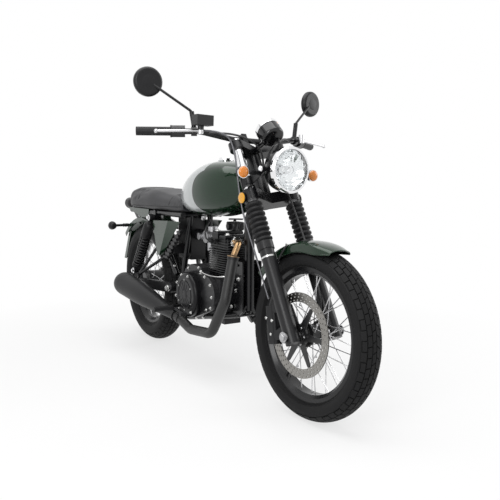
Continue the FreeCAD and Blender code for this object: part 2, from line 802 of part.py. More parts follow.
def speedometer():
    tilt = math.radians(GAUGE_TILT)
    face = V(-math.sin(tilt), 0, math.cos(tilt))
    centre = V(GAUGE_X, 0, GAUGE_Z)
    bottom = centre - face * (GAUGE_DEPTH / 2)
    drum = Part.makeCylinder(GAUGE_RADIUS, GAUGE_DEPTH, bottom, face)
    drum = drum.makeFillet(GAUGE_DEPTH / 5, [drum.Edges[2]])
    clamp_middle = UPPER_CLAMP_BOTTOM + UPPER_CLAMP_HEIGHT * 0.55
    arm = rod(fork_point(-FORK_OFFSET / 2, 0, clamp_middle), centre - face * (GAUGE_DEPTH / 4), BAR_RADIUS)
    return fused([drum, arm]).cut(on_fork(clamp_yoke(UPPER_CLAMP_BOTTOM, UPPER_CLAMP_HEIGHT)))


HEADLAMP_WALL = 2.5
HEADLAMP_GLASS_DEPTH = 9.0
HEADLAMP_GLASS_RISE = 8.0
HEADLAMP_RING_EDGE = 5.0
BOWL_RADIUS = HEADLAMP_RADIUS * 0.94
GLASS_RADIUS = HEADLAMP_RADIUS * 0.88
RING_BACK_X = HEADLAMP_X - HEADLAMP_RING_DEPTH


def bowl_form(back, front, radius):
    """A deep round bowl about the lamp's axis, solid."""
    start = V(back, 0, HEADLAMP_Z)
    lip = V(front, 0, HEADLAMP_Z + radius)
    swell = V(back + (front - back) * 0.3, 0, HEADLAMP_Z + radius * 0.74)
    curve = Part.Arc(start, swell, lip).toShape()
    closing = Part.makePolygon([lip, V(front, 0, HEADLAMP_Z), start])
    return Part.Face(Part.Wire([curve] + closing.Edges)).revolve(start, V(1, 0, 0), 360)


def headlamp():
    """The hollow bowl with an ear each side that clamps on the fork leg."""
    back = HEADLAMP_X - HEADLAMP_DEPTH
    front = RING_BACK_X - SEAT_GAP
    bowl = bowl_form(back, front, BOWL_RADIUS)
    shell = fused([bowl, lamp_ear(-LEG_Y), lamp_ear(LEG_Y)])
    return shell.cut(bowl_form(back + HEADLAMP_WALL, front + OVERRUN, BOWL_RADIUS - HEADLAMP_WALL))


def headlamp_ring():
    """The bright rim round the lamp's glass."""
    edge = HEADLAMP_RING_EDGE
    profile = [
        (-HEADLAMP_RING_DEPTH, GLASS_RADIUS), (-HEADLAMP_RING_DEPTH, HEADLAMP_RADIUS),
        (-edge, HEADLAMP_RADIUS), (0, HEADLAMP_RADIUS - edge), (0, GLASS_RADIUS),
    ]
    return turned_about_x(profile, V(HEADLAMP_X, 0, HEADLAMP_Z))


def headlamp_lens():
    """The lamp's glass: a shallow dome with a flat back."""
    radius = GLASS_RADIUS - SEAT_GAP
    profile = [(-HEADLAMP_GLASS_DEPTH, 0), (-HEADLAMP_GLASS_DEPTH, radius), (0, radius)]
    for out, ahead in ((0.8, 0.36), (0.6, 0.64), (0.4, 0.84), (0.2, 0.96)):
        profile.append((HEADLAMP_GLASS_RISE * ahead, radius * out))
    profile.append((HEADLAMP_GLASS_RISE, 0))
    return turned_about_x(profile, V(HEADLAMP_X, 0, HEADLAMP_Z))


def lamp_ear(y):
    """A flat bracket from a ring round the fork leg to the lamp's side."""
    side = math.copysign(1, y)
    bolt = FORK.inverse().multVec(V(HEADLAMP_X - HEADLAMP_RADIUS * 0.58, 0, HEADLAMP_Z))
    ring = leg_bar(y, bolt.z - STANCHION_RADIUS, bolt.z + STANCHION_RADIUS, STANCHION_RADIUS * 1.35)
    thickness = FLANGE_THICKNESS
    inner = y - side * thickness
    plate = link_plate(
        V(0, inner, bolt.z), STANCHION_RADIUS, V(bolt.x, inner, bolt.z), STANCHION_RADIUS * 0.8, V(0, side, 0), thickness
    )
    bolt_end = side * HEADLAMP_RADIUS * 0.8
    stud = rod(V(bolt.x, y, bolt.z), V(bolt.x, bolt_end, bolt.z), BAR_RADIUS * 0.7)
    ear = fused([ring, plate, stud])
    hole = leg_bar(y, bolt.z - STANCHION_RADIUS * 2, bolt.z + STANCHION_RADIUS * 2, STANCHION_RADIUS + SEAT_GAP)
    return on_fork(ear.cut(hole))


def signal(x, root_y, lamp_y, z, facing):
    """A round turn signal and its stalk, right side."""
    stalk = across(x, z, root_y, lamp_y + SIGNAL_RADIUS / 2, SIGNAL_RADIUS / 3)
    lamp = Part.makeCylinder(SIGNAL_RADIUS, SIGNAL_LENGTH, V(x - facing * SIGNAL_LENGTH / 2, lamp_y, z), V(facing, 0, 0))
    lamp = lamp.makeFillet(SIGNAL_RADIUS / 2, [lamp.Edges[2]])
    return fused([stalk, lamp])


def front_signals():
    root = -LEG_Y - SEAT_GAP
    return both_sides(signal(SIGNAL_X, root, -SIGNAL_SPREAD, SIGNAL_Z, 1))


def guard(centre, radius, width, skirt, start, sweep):
    """A mudguard: an arched channel swept about the axle."""
    half = width / 2
    inner_half = half - GUARD_THICKNESS
    arch = width / 8

    def channel(half_width, top):
        side = top - arch
        low = radius - skirt
        return [(-half_width, low), (-half_width, side), (0, top), (half_width, side), (half_width, low)]

    outer = channel(half, radius)
    inner = channel(inner_half, radius - GUARD_THICKNESS)

    def at(pair):
        return V(centre.x + pair[1], centre.y + pair[0], centre.z)

    edges = [
        Part.LineSegment(at(outer[0]), at(outer[1])),
        Part.Arc(at(outer[1]), at(outer[2]), at(outer[3])),
        Part.LineSegment(at(outer[3]), at(outer[4])),
        Part.LineSegment(at(outer[4]), at(inner[4])),
        Part.LineSegment(at(inner[4]), at(inner[3])),
        Part.Arc(at(inner[3]), at(inner[2]), at(inner[1])),
        Part.LineSegment(at(inner[1]), at(inner[0])),
        Part.LineSegment(at(inner[0]), at(outer[0])),
    ]
    face = Part.Face(Part.Wire([e.toShape() for e in edges]))
    face.rotate(centre, V(0, 1, 0), -start)
    return face.revolve(centre, V(0, -1, 0), sweep)


def front_mudguard():
    shell = guard(
        FRONT_AXLE, FRONT_GUARD_RADIUS, FRONT_GUARD_WIDTH, FRONT_GUARD_SKIRT, FRONT_GUARD_START_ANGLE, FRONT_GUARD_SWEEP_ANGLE
    )
    side = FRONT_GUARD_WIDTH / 2
    lug_up = SLIDER_TOP - SLIDER_COLLAR_HEIGHT * 2
    stays = []
    for sign in (-1, 1):
        lug = on_fork(
            block(
                (-SLIDER_RADIUS / 2, SLIDER_RADIUS),
                sorted((sign * (side - GUARD_THICKNESS), sign * (LEG_Y - SLIDER_RADIUS + OVERRUN))),
                (lug_up, lug_up + SLIDER_COLLAR_HEIGHT),
            )
        )
        stays.append(lug)
    body = fused([shell] + stays)
    for sign in (-1, 1):
        leg = on_fork(leg_bar(sign * LEG_Y, SLIDER_BOTTOM, SLIDER_TOP, SLIDER_RADIUS + SEAT_GAP))
        body = body.cut(leg)
    return body


def brake_caliper():
    """A caliper behind the right leg, straddling the disc."""
    slot = DISC_THICKNESS / 2 + CALIPER_SLOT_MARGIN
    y_low = DISC_SIDE - slot - CALIPER_OUTER_WALL
    y_high = DISC_SIDE + slot + CALIPER_INNER_WALL
    body = Part.makeBox(
        CALIPER_DEPTH, y_high - y_low, CALIPER_LENGTH, V(-CALIPER_DEPTH / 2, y_low, -CALIPER_LENGTH / 2)
    )
    body = body.makeFillet(CALIPER_DEPTH / 4, [e for e in body.Edges if e.Length > CALIPER_DEPTH + OVERRUN])
    lean = math.degrees(math.atan2(CALIPER_UP, CALIPER_BACK))
    seat = FreeCAD.Placement(V(-CALIPER_BACK, 0, CALIPER_UP), FreeCAD.Rotation(V(0, 1, 0), lean / 2))
    body = moved(body, seat)
    arm_y = y_low
    mount = link_plate(
        V(-CALIPER_BACK / 2, arm_y, CALIPER_UP * 1.6), CALIPER_DEPTH / 3,
        V(-SLIDER_RADIUS, arm_y, CALIPER_UP * 2), CALIPER_DEPTH / 4, V(0, 1, 0), CALIPER_OUTER_WALL,
    )
    low_mount = link_plate(
        V(-CALIPER_BACK * 0.8, arm_y, CALIPER_UP * 0.4), CALIPER_DEPTH / 3,
        V(-SLIDER_RADIUS, arm_y, CALIPER_UP * 0.5), CALIPER_DEPTH / 4, V(0, 1, 0), CALIPER_OUTER_WALL,
    )
    body = fused([body, mount, low_mount])
    gap = Part.makeCylinder(DISC_RADIUS + CALIPER_SLOT_MARGIN, slot * 2, V(0, DISC_SIDE - slot, 0), V(0, 1, 0))
    leg = leg_bar(-LEG_Y, SLIDER_BOTTOM, SLIDER_TOP, SLIDER_RADIUS + SEAT_GAP)
    return on_fork(body.cut(gap).cut(leg))


CABLE_RADIUS = 3.5
HOSE_FROM_LEG = 34.0


def brake_hose():
    """The hose from the right lever down the right leg to the caliper."""
    box_foot = along_bar(PERCH_FROM_END + LEVER_EYE_RADIUS + SEAT_GAP) + V(LEVER_AHEAD, 0, 0)
    caliper_top = fork_point(-CALIPER_BACK * 0.62, -LEG_Y, CALIPER_UP * 2.1)
    return bent_tube(
        [
            box_foot,
            box_foot - BAR_RUN * (HOSE_FROM_LEG * 2),
            fork_point(HOSE_FROM_LEG, -LEG_Y - HOSE_FROM_LEG, UPPER_CLAMP_BOTTOM),
            fork_point(-HOSE_FROM_LEG, -LEG_Y - HOSE_FROM_LEG, LOWER_CLAMP_BOTTOM),
            fork_point(-HOSE_FROM_LEG * 1.4, -LEG_Y - HOSE_FROM_LEG / 2, SLIDER_TOP),
            caliper_top,
        ],
        CABLE_RADIUS,
        HOSE_FROM_LEG * 2,
    )


def speedometer_cable():
    """The cable from the gauge down inside the left leg to the front axle."""
    tilt = math.radians(GAUGE_TILT)
    face = V(-math.sin(tilt), 0, math.cos(tilt))
    start = V(GAUGE_X, GAUGE_RADIUS / 2, GAUGE_Z) - face * (GAUGE_DEPTH / 2 + SEAT_GAP)
    inside = LEG_Y - SLIDER_RADIUS - CABLE_RADIUS * 1.5
    behind_lamp = LOWER_CLAMP_BOTTOM + (UPPER_CLAMP_BOTTOM - LOWER_CLAMP_BOTTOM) * 0.7
    nut = AXLE_RADIUS * 1.6
    return bent_tube(
        [
            start,
            start - face * (HOSE_FROM_LEG / 2),
            fork_point(HOSE_FROM_LEG * 0.6, inside / 2, behind_lamp),
            fork_point(HOSE_FROM_LEG, inside, LOWER_CLAMP_BOTTOM),
            fork_point(HOSE_FROM_LEG, inside, HOSE_FROM_LEG * 4),
            fork_point(0, inside, HOSE_FROM_LEG * 2),
            fork_point(0, inside, nut + SEAT_GAP),
        ],
        CABLE_RADIUS,
        HOSE_FROM_LEG * 2,
    )


def control_cables():
    return Part.makeCompound([brake_hose(), speedometer_cable()])


# Frame

HEADSTOCK_LOW = LOWER_CLAMP_BOTTOM + LOWER_CLAMP_HEIGHT + 1.0
HEADSTOCK_HIGH = UPPER_CLAMP_BOTTOM - 1.0


SPINE_END_X = 537.0
BACKBONE_SHARE = 0.45
POST_TOP_Y = 50.0
TANK_PAD_SHARE = 0.35
SPINE_CROSS_Y = SEAT_RAIL_Y - RAIL_RADIUS - SEAT_GAP


def backbone(margin):
    """The tube under the tank, grown by a margin where something is cut to fit round it."""
    neck = fork_point(-FORK_OFFSET, 0, HEADSTOCK_LOW + (HEADSTOCK_HIGH - HEADSTOCK_LOW) * BACKBONE_SHARE)
    return rod(neck, V(SPINE_END_X, 0, SEAT_RAIL_Z), TUBE_RADIUS + margin)


CRADLE_SLOPE = (CRADLE_FRONT_Z - CRADLE_REAR_Z) / (CRADLE_FRONT_X - CRADLE_REAR_X)
MOUNT_BOLT_SHARES = (0.07, 0.30, 0.51, 0.96)
NOSE_BOLT_SHARES = (0.25, 0.80)
NOSE_X = CASE_FRONT_X - CASE_NOSE_LENGTH


def cradle_z(x):
    """The height of a cradle rail's middle at a place along it."""
    return CRADLE_REAR_Z + (x - CRADLE_REAR_X) * CRADLE_SLOPE


def cradle_rail(sign):
    toe_x = DOWN_TUBE_X - TUBE_RADIUS
    return bent_tube(
        [
            V(DOWN_TUBE_X, sign * RAIL_RADIUS, DOWN_TUBE_FOOT_Z + TUBE_RADIUS),
            V(toe_x, sign * CRADLE_Y * 0.6, cradle_z(toe_x)),
            V(CRADLE_FRONT_X, sign * CRADLE_Y, CRADLE_FRONT_Z),
            V(CRADLE_REAR_X, sign * CRADLE_Y, CRADLE_REAR_Z),
            V(PIVOT_X, sign * CRADLE_Y, PIVOT_Z - TUBE_RADIUS * 2),
        ],
        RAIL_RADIUS,
        RAIL_RADIUS * 3,
    )


def pivot_plate(sign):
    front = PIVOT_X + TUBE_RADIUS * 2.2
    rear = PIVOT_X - TUBE_RADIUS * 1.4
    top = PIVOT_Z + TUBE_RADIUS * 3
    outline = [(rear, top), (front, top), (front, cradle_z(front)), (rear, PIVOT_Z - TUBE_RADIUS * 2)]
    return side_plate(outline, TUBE_RADIUS / 2, sign * POST_Y, sign * (POST_Y + FLANGE_THICKNESS * 2))


def mount_bolt(x, z):
    reach = MOUNT_PLATE_Y + MOUNT_PLATE_THICKNESS + MOUNT_BOLT_RADIUS
    return across(x, z, -reach, reach, MOUNT_BOLT_RADIUS)


def nose_bolts():
    """The bolts that hold the engine's nose between the mount plates."""
    low = cradle_z(NOSE_X)
    x = NOSE_X + CASE_NOSE_LENGTH / 2
    return [mount_bolt(x, low + (CYLINDER_BOTTOM - low) * share) for share in NOSE_BOLT_SHARES]


def engine_mounts():
    """A plate each side from the down tube to the engine's nose, with its bolts."""
    rear = NOSE_X + SEAT_GAP
    step = CYLINDER_X + FIN_LENGTH / 2 + RUNNING_GAP
    front = DOWN_TUBE_X + TUBE_RADIUS
    toe = DOWN_TUBE_X - TUBE_RADIUS
    low = cradle_z(toe) - RAIL_RADIUS
    outline = [
        (rear, CYLINDER_BOTTOM - RAIL_RADIUS), (step, CYLINDER_BOTTOM), (step, MOUNT_PLATE_TOP),
        (front, MOUNT_PLATE_TOP), (front, DOWN_TUBE_FOOT_Z), (toe, low), (rear, low),
    ]
    outer = MOUNT_PLATE_Y + MOUNT_PLATE_THICKNESS
    plates = [side_plate(outline, MOUNT_PLATE_THICKNESS, sign * MOUNT_PLATE_Y, sign * outer) for sign in (-1, 1)]
    bolts = [
        mount_bolt(DOWN_TUBE_X - RAIL_RADIUS, MOUNT_PLATE_TOP + (low - MOUNT_PLATE_TOP) * share)
        for share in MOUNT_BOLT_SHARES
    ]
    return plates + bolts + nose_bolts()


def stand_bracket():
    """The lug on the left rail, with the bolt that the side stand turns on."""
    inner = STAND_PIVOT - STAND_AXIS * (STAND_EYE_HALF + STAND_FACE_GAP)
    rail = V(STAND_PIVOT_X, CRADLE_Y, cradle_z(STAND_PIVOT_X))
    foot = rail - STAND_AXIS * (rail - inner).dot(STAND_AXIS)
    lug = link_plate(inner, STAND_EYE_RADIUS, foot, STAND_EYE_RADIUS * 0.9, -STAND_AXIS, STAND_BOLT_RADIUS * 1.6)
    outer = STAND_PIVOT + STAND_AXIS * (STAND_EYE_HALF + STAND_FACE_GAP)
    head = outer + STAND_AXIS * STAND_BOLT_RADIUS
    return [lug, rod(inner, head, STAND_BOLT_RADIUS), rod(outer, head, STAND_BOLT_RADIUS * 1.8)]


def frame():
    """Headstock, backbone, down tube, cradle rails, engine mounts and the pivot plates."""
    head = on_fork(rod(V(-FORK_OFFSET, 0, HEADSTOCK_LOW), V(-FORK_OFFSET, 0, HEADSTOCK_HIGH), HEADSTOCK_RADIUS))
    span = HEADSTOCK_HIGH - HEADSTOCK_LOW
    foot = fork_point(-FORK_OFFSET, 0, HEADSTOCK_LOW + span * 0.2)
    spine_end = V(SPINE_END_X, 0, SEAT_RAIL_Z)
    down = bent_tube(
        [foot, V(DOWN_TUBE_X, 0, TANK_BOTTOM), V(DOWN_TUBE_X, 0, DOWN_TUBE_FOOT_Z)], TUBE_RADIUS, TUBE_RADIUS * 3
    )
    parts = [head, backbone(0), down]
    for sign in (-1, 1):
        post_top = V(spine_end.x, sign * POST_TOP_Y, spine_end.z)
        post = rod(V(PIVOT_X, sign * POST_Y, PIVOT_Z), post_top, RAIL_RADIUS)
        parts += [cradle_rail(sign), post, pivot_plate(sign)]
    parts.append(across(spine_end.x, spine_end.z, -SPINE_CROSS_Y, SPINE_CROSS_Y, RAIL_RADIUS))
    pad = fork_point(-FORK_OFFSET, 0, HEADSTOCK_LOW + span * BACKBONE_SHARE)
    pad = pad + (spine_end - pad) * TANK_PAD_SHARE
    pad_y = TANK_TUNNEL_WIDTH / 2 - SEAT_GAP
    parts.append(across(pad.x, pad.z, -pad_y, pad_y, RAIL_RADIUS))
    parts.append(across(PIVOT_X, PIVOT_Z - TUBE_RADIUS * 2, -CRADLE_Y, CRADLE_Y, RAIL_RADIUS))
    body = fused(parts + engine_mounts() + stand_bracket())
    bore = on_fork(rod(V(-FORK_OFFSET, 0, 0), V(-FORK_OFFSET, 0, STANCHION_TOP), STEM_RADIUS + PIN_GAP))
    pivot = across(PIVOT_X, PIVOT_Z, -ACROSS_REACH, ACROSS_REACH, PIVOT_RADIUS + SEAT_GAP)
    return body.cut(bore).cut(pivot)


STAY_TOP_X = 190.0
STAY_TOP_Y = SEAT_RAIL_Y - RAIL_RADIUS
STAY_FOOT_Y = POST_Y + FLANGE_THICKNESS * 2 + RAIL_RADIUS + SEAT_GAP
GUARD_MOUNT_XS = (SEAT_RAIL_END_X, 150.0)


STAY_END_X = PIVOT_X - RAIL_RADIUS / 2
HANGER_SHARES = (0.43, 0.68)
HANGER_RADIUS = 7.0


def stay_point(share, sign):
    """A point down the stay that runs from the seat rail to the pivot plate."""
    return V(
        STAY_TOP_X + (STAY_END_X - STAY_TOP_X) * share,
        sign * (STAY_TOP_Y + (STAY_FOOT_Y - STAY_TOP_Y) * share),
        SEAT_RAIL_Z + (PIVOT_Z + CRADLE_Y - SEAT_RAIL_Z) * share,
    )


def hanger(sign):
    """Two tubes from the stay that meet over the silencer."""
    tip = V(HANGER_X, -sign * HANGER_Y, HANGER_Z)
    tubes = [rod(stay_point(share, sign), tip, HANGER_RADIUS) for share in HANGER_SHARES]
    eye = across(tip.x, tip.z, tip.y - HANGER_RADIUS, tip.y + HANGER_RADIUS, HANGER_RADIUS * 1.6)
    return tubes + [eye]


def seat_frame():
    """Rails under the seat, the side stays, the shock mounts and the silencer's hanger."""
    parts = []
    for sign in (-1, 1):
        y = sign * SEAT_RAIL_Y
        rail = rod(V(SPINE_END_X + RAIL_RADIUS, y, SEAT_RAIL_Z), V(SEAT_RAIL_END_X, y, SEAT_RAIL_Z), RAIL_RADIUS)
        stay = rod(stay_point(0, sign), stay_point(1, sign), RAIL_RADIUS)
        stud = across(SHOCK_TOP_X, SHOCK_TOP_Z, y, sign * (SHOCK_Y + SHOCK_EYE_RADIUS), SHOCK_STUD_RADIUS)
        lug = link_plate(
            V(SHOCK_TOP_X, y, SHOCK_TOP_Z), SHOCK_EYE_RADIUS, V(SHOCK_TOP_X, y, SEAT_RAIL_Z), RAIL_RADIUS,
            V(0, sign, 0), RAIL_RADIUS + OVERRUN,
        )
        parts += [rail, stay, stud, lug] + hanger(sign)
    for x in GUARD_MOUNT_XS:
        parts.append(across(x, SEAT_RAIL_Z, -SEAT_RAIL_Y, SEAT_RAIL_Y, RAIL_RADIUS))
    share = (MUFFLER_START_X - HANGER_X) / (MUFFLER_START_X - MUFFLER_END_X)
    strap = rod(V(HANGER_X, HANGER_Y, HANGER_Z), muffler_point(share), HANGER_RADIUS)
    parts.append(strap.cut(muffler_form(SEAT_GAP)))
    return fused(parts)


def swingarm():
    """Two box arms on the pivot shaft, a cross brace and the shock studs."""
    parts = []
    half = ARM_HEIGHT / 2
    for sign in (-1, 1):
        y = sign * ARM_INNER_Y
        arm = link_plate(
            V(REAR_AXLE.x, y, REAR_AXLE.z), half, V(PIVOT_X, y, PIVOT_Z), half, V(0, sign, 0), ARM_WIDTH
        )
        lug = link_plate(
            V(SHOCK_LOW_X, y, SHOCK_LOW_Z), SHOCK_EYE_RADIUS, V(SHOCK_LOW_X, y, REAR_AXLE.z + half / 2),
            half, V(0, sign, 0), FLANGE_THICKNESS * 2,
        )
        stud = across(SHOCK_LOW_X, SHOCK_LOW_Z, y, sign * (SHOCK_Y + SHOCK_EYE_RADIUS), SHOCK_STUD_RADIUS)
        eye = across(PIVOT_X, PIVOT_Z, sign * (POST_Y + RAIL_RADIUS + SEAT_GAP), y, half)
        parts += [arm, lug, stud, eye]
    brace_x = REAR_TYRE_RADIUS + ARM_HEIGHT * 1.5
    brace_z = REAR_AXLE.z + (PIVOT_Z - REAR_AXLE.z) * brace_x / PIVOT_X
    brace = across(brace_x, brace_z, -ARM_INNER_Y - OVERRUN, ARM_INNER_Y + OVERRUN, half * 0.65)
    body = fused(parts + [brace])
    body = body.cut(across(PIVOT_X, PIVOT_Z, -ACROSS_REACH, ACROSS_REACH, PIVOT_RADIUS + SEAT_GAP))
    return body.cut(across(REAR_AXLE.x, REAR_AXLE.z, -ACROSS_REACH, ACROSS_REACH, AXLE_RADIUS + SEAT_GAP))


def pivot_shaft():
    end = ARM_INNER_Y + ARM_WIDTH
    nut = PIVOT_RADIUS * 1.5
    caps = [
        across(PIVOT_X, PIVOT_Z, end + SEAT_GAP, end + PIVOT_RADIUS, nut),
        across(PIVOT_X, PIVOT_Z, -end - PIVOT_RADIUS, -end - SEAT_GAP, nut),
    ]
    return fused([across(PIVOT_X, PIVOT_Z, -end - PIVOT_RADIUS, end + PIVOT_RADIUS, PIVOT_RADIUS)] + caps)


SPRING_LOW_SHARE = 0.13
SPRING_TOP_SHARE = 0.68
COVER_TOP_SHARE = 0.88
SPRING_COILS = 10


def rear_shock(sign):
    """A damper with its ringed spring, lower cup and upper cover between an eye at each end."""
    low = V(SHOCK_LOW_X, sign * SHOCK_Y, SHOCK_LOW_Z)
    high = V(SHOCK_TOP_X, sign * SHOCK_Y, SHOCK_TOP_Z)
    core = SPRING_RADIUS / 2
    root = SPRING_RADIUS * 0.76
    profile = [(0, 0), (0, core), (SPRING_LOW_SHARE * 0.8, core), (SPRING_LOW_SHARE * 0.8, SPRING_RADIUS)]
    pitch = (SPRING_TOP_SHARE - SPRING_LOW_SHARE) / SPRING_COILS
    for i in range(SPRING_COILS):
        start = SPRING_LOW_SHARE + i * pitch
        profile += [(start, root), (start + pitch * 0.3, SPRING_RADIUS), (start + pitch * 0.7, SPRING_RADIUS)]
    profile += [(SPRING_TOP_SHARE, root), (SPRING_TOP_SHARE, SPRING_RADIUS), (COVER_TOP_SHARE, SPRING_RADIUS * 0.9)]
    profile += [(COVER_TOP_SHARE, core), (1, core), (1, 0)]
    half = SHOCK_EYE_RADIUS * 0.9
    eyes = [across(p.x, p.z, p.y - half, p.y + half, SHOCK_EYE_RADIUS) for p in (low, high)]
    shock = fused([turned_between(low, high, profile)] + eyes)
    for p in (low, high):
        shock = shock.cut(across(p.x, p.z, p.y - SPRING_RADIUS, p.y + SPRING_RADIUS, SHOCK_STUD_RADIUS + SEAT_GAP))
        beyond = p + (p - (low + high) / 2).normalize() * SPRING_RADIUS
        room = rod(p, beyond, SPRING_RADIUS)
        room = room.cut(across(p.x, p.z, p.y - SPRING_RADIUS, p.y + SPRING_RADIUS, SHOCK_EYE_RADIUS))
        shock = shock.cut(room)
    return shock


def rear_shocks():
    return Part.makeCompound([rear_shock(-1), rear_shock(1)])


def drive_chain():
    """The closed loop of the chain, as wide as its plates."""
    rear = V(REAR_AXLE.x, CHAIN_Y - CHAIN_WIDTH / 2, REAR_AXLE.z)
    front = V(FRONT_SPROCKET_X, CHAIN_Y - CHAIN_WIDTH / 2, FRONT_SPROCKET_Z)
    half = CHAIN_HEIGHT / 2
    outside = link_plate(
        rear, REAR_PITCH_RADIUS + half, front, FRONT_PITCH_RADIUS + half, V(0, 1, 0), CHAIN_WIDTH
    )
    inside = link_plate(
        rear, REAR_PITCH_RADIUS - half, front, FRONT_PITCH_RADIUS - half, V(0, 1, 0), CHAIN_WIDTH
    )
    return outside.cut(inside)


GUARD_REAR_X = 96.0
GUARD_FRONT_X = 400.0
CHAIN_GUARD_HEIGHT = 40.0
CHAIN_GUARD_Z = 402.0


def arm_top(x):
    """The height of the swingarm's upper face at a place along it."""
    return REAR_AXLE.z + (PIVOT_Z - REAR_AXLE.z) * x / PIVOT_X + ARM_HEIGHT / 2


def chain_guard():
    """A plate over the chain's upper run, with a lug down to the swingarm at each end."""
    inner = CHAIN_Y + CHAIN_WIDTH / 2 + GUARD_THICKNESS
    outer = inner + GUARD_THICKNESS
    drop = (CHAIN_GUARD_Z - PIVOT_Z) / 2
    plate = link_plate(
        V(GUARD_REAR_X, inner, CHAIN_GUARD_Z), CHAIN_GUARD_HEIGHT / 2,
        V(GUARD_FRONT_X, inner, CHAIN_GUARD_Z - drop / 2), CHAIN_GUARD_HEIGHT / 2.5, V(0, 1, 0), GUARD_THICKNESS,
    )
    lugs = []
    for x in (GUARD_REAR_X + CHAIN_GUARD_HEIGHT, GUARD_FRONT_X - CHAIN_GUARD_HEIGHT):
        low = arm_top(x + RAIL_RADIUS) + SEAT_GAP
        along = (x - RAIL_RADIUS, x + RAIL_RADIUS)
        lugs.append(block(along, (inner, ARM_INNER_Y + ARM_WIDTH / 2), (low, low + FLANGE_THICKNESS)))
        lugs.append(block(along, (inner, outer), (low, CHAIN_GUARD_Z - drop / 2)))
    return fused([plate] + lugs)


# Engine

# Shares along the case and up from the cradle's rails to the cylinder's foot
CASE_OUTLINE_SHARES = (
    (0.0, 0.18), (0.0, 0.72), (0.12, 1.0), (0.26, 1.14), (0.50, 1.14), (0.515, 0.99), (0.95, 0.94), (1.0, 0.80),
    (1.0, 0.2), (0.97, 0.0), (0.12, 0.0),
)
SUMP_SHARES = (0.34, 0.76)


def case_top_of_rail(x):
    return cradle_z(x) + RAIL_RADIUS * math.hypot(1, CRADLE_SLOPE) + SEAT_GAP


def crankcase():
    """The case between the frame's rails, with its nose between the mount plates and a sump below."""
    length = CASE_FRONT_X - CASE_REAR_X
    outline = []
    for along, up in CASE_OUTLINE_SHARES:
        x = CASE_REAR_X + length * along
        low = case_top_of_rail(x)
        outline.append((x, low + (CYLINDER_BOTTOM - low) * up))
    case = side_plate(outline, RAIL_RADIUS, -CASE_HALF_WIDTH, CASE_HALF_WIDTH)
    sump_half = CRADLE_Y - RAIL_RADIUS - RUNNING_GAP
    sump_x = [CASE_REAR_X + length * share for share in SUMP_SHARES]
    sump = block(sump_x, (-sump_half, sump_half), (cradle_z(sump_x[0]) - RAIL_RADIUS / 2, CYLINDER_BOTTOM - RAIL_RADIUS))
    case = fused([case, sump])
    reach = FRONT_PITCH_RADIUS + CHAIN_HEIGHT * 2
    pocket = block(
        (CASE_REAR_X - OVERRUN, FRONT_SPROCKET_X + reach),
        (CHAIN_Y - CHAIN_WIDTH, CASE_HALF_WIDTH + OVERRUN),
        (FRONT_SPROCKET_Z - reach, FRONT_SPROCKET_Z + reach),
    )
    case = case.cut(pocket)
    for sign in (-1, 1):
        beside = block(
            (NOSE_X, CASE_FRONT_X + OVERRUN),
            sorted((sign * (MOUNT_PLATE_Y - SEAT_GAP), sign * (CASE_HALF_WIDTH + OVERRUN))),
            (CRADLE_REAR_Z, CYLINDER_TOP),
        )
        case = case.cut(beside)
    for bolt in nose_bolts():
        case = case.cut(grown_bolt(bolt))
    return case


def grown_bolt(bolt):
    """A mount bolt with the running room that its hole has."""
    middle = bolt.BoundBox.Center
    reach = CASE_HALF_WIDTH
    return across(middle.x, middle.z, -reach, reach, MOUNT_BOLT_RADIUS + SEAT_GAP)


COVER_LIP = 4.0
GROOVE_DEPTH = 3.0


def dome(x, z, radius, depth, sign):
    """A round cover with a rolled edge and a shallow ring in its face."""
    start = sign * (CASE_HALF_WIDTH + SEAT_GAP)
    form = Part.makeCylinder(radius, depth, V(x, start, z), V(0, sign, 0))
    edge = max(form.Edges, key=lambda e: e.CenterOfMass.y * sign)
    form = form.makeFillet(DOME_DEPTH / 2, [edge])
    face = start + sign * (depth - GROOVE_DEPTH)
    ring_radius = radius * DOME_GROOVE_RADIUS / COVER_RADIUS
    ring = Part.makeCylinder(ring_radius, GROOVE_DEPTH * 2, V(x, face, z), V(0, sign, 0))
    core = Part.makeCylinder(ring_radius - COVER_LIP, GROOVE_DEPTH * 2, V(x, face, z), V(0, sign, 0))
    return form.cut(ring.cut(core))


def engine_covers():
    """The clutch cover on the right, the sprocket and generator cover on the left."""
    start = CASE_HALF_WIDTH + SEAT_GAP
    plate = link_plate(
        V(COVER_X, -start, COVER_Z), COVER_RADIUS + COVER_LIP,
        V(COVER_FRONT_X, -start, COVER_FRONT_Z), COVER_FRONT_RADIUS, V(0, -1, 0), COVER_DEPTH,
    )
    clutch = dome(COVER_X, COVER_Z, COVER_RADIUS, COVER_DEPTH + DOME_DEPTH, -1)
    left = link_plate(
        V(FRONT_SPROCKET_X + CHAIN_HEIGHT, start, FRONT_SPROCKET_Z), FRONT_PITCH_RADIUS * 1.2,
        V(CYLINDER_X - COVER_RADIUS * 0.4, start, COVER_Z), COVER_RADIUS * 0.86, V(0, 1, 0), COVER_DEPTH,
    )
    generator = dome(CYLINDER_X - COVER_RADIUS * 0.4, COVER_Z, COVER_RADIUS * 0.8, COVER_DEPTH + DOME_DEPTH / 2, 1)
    return Part.makeCompound([fused([plate, clutch]), fused([left, generator])])


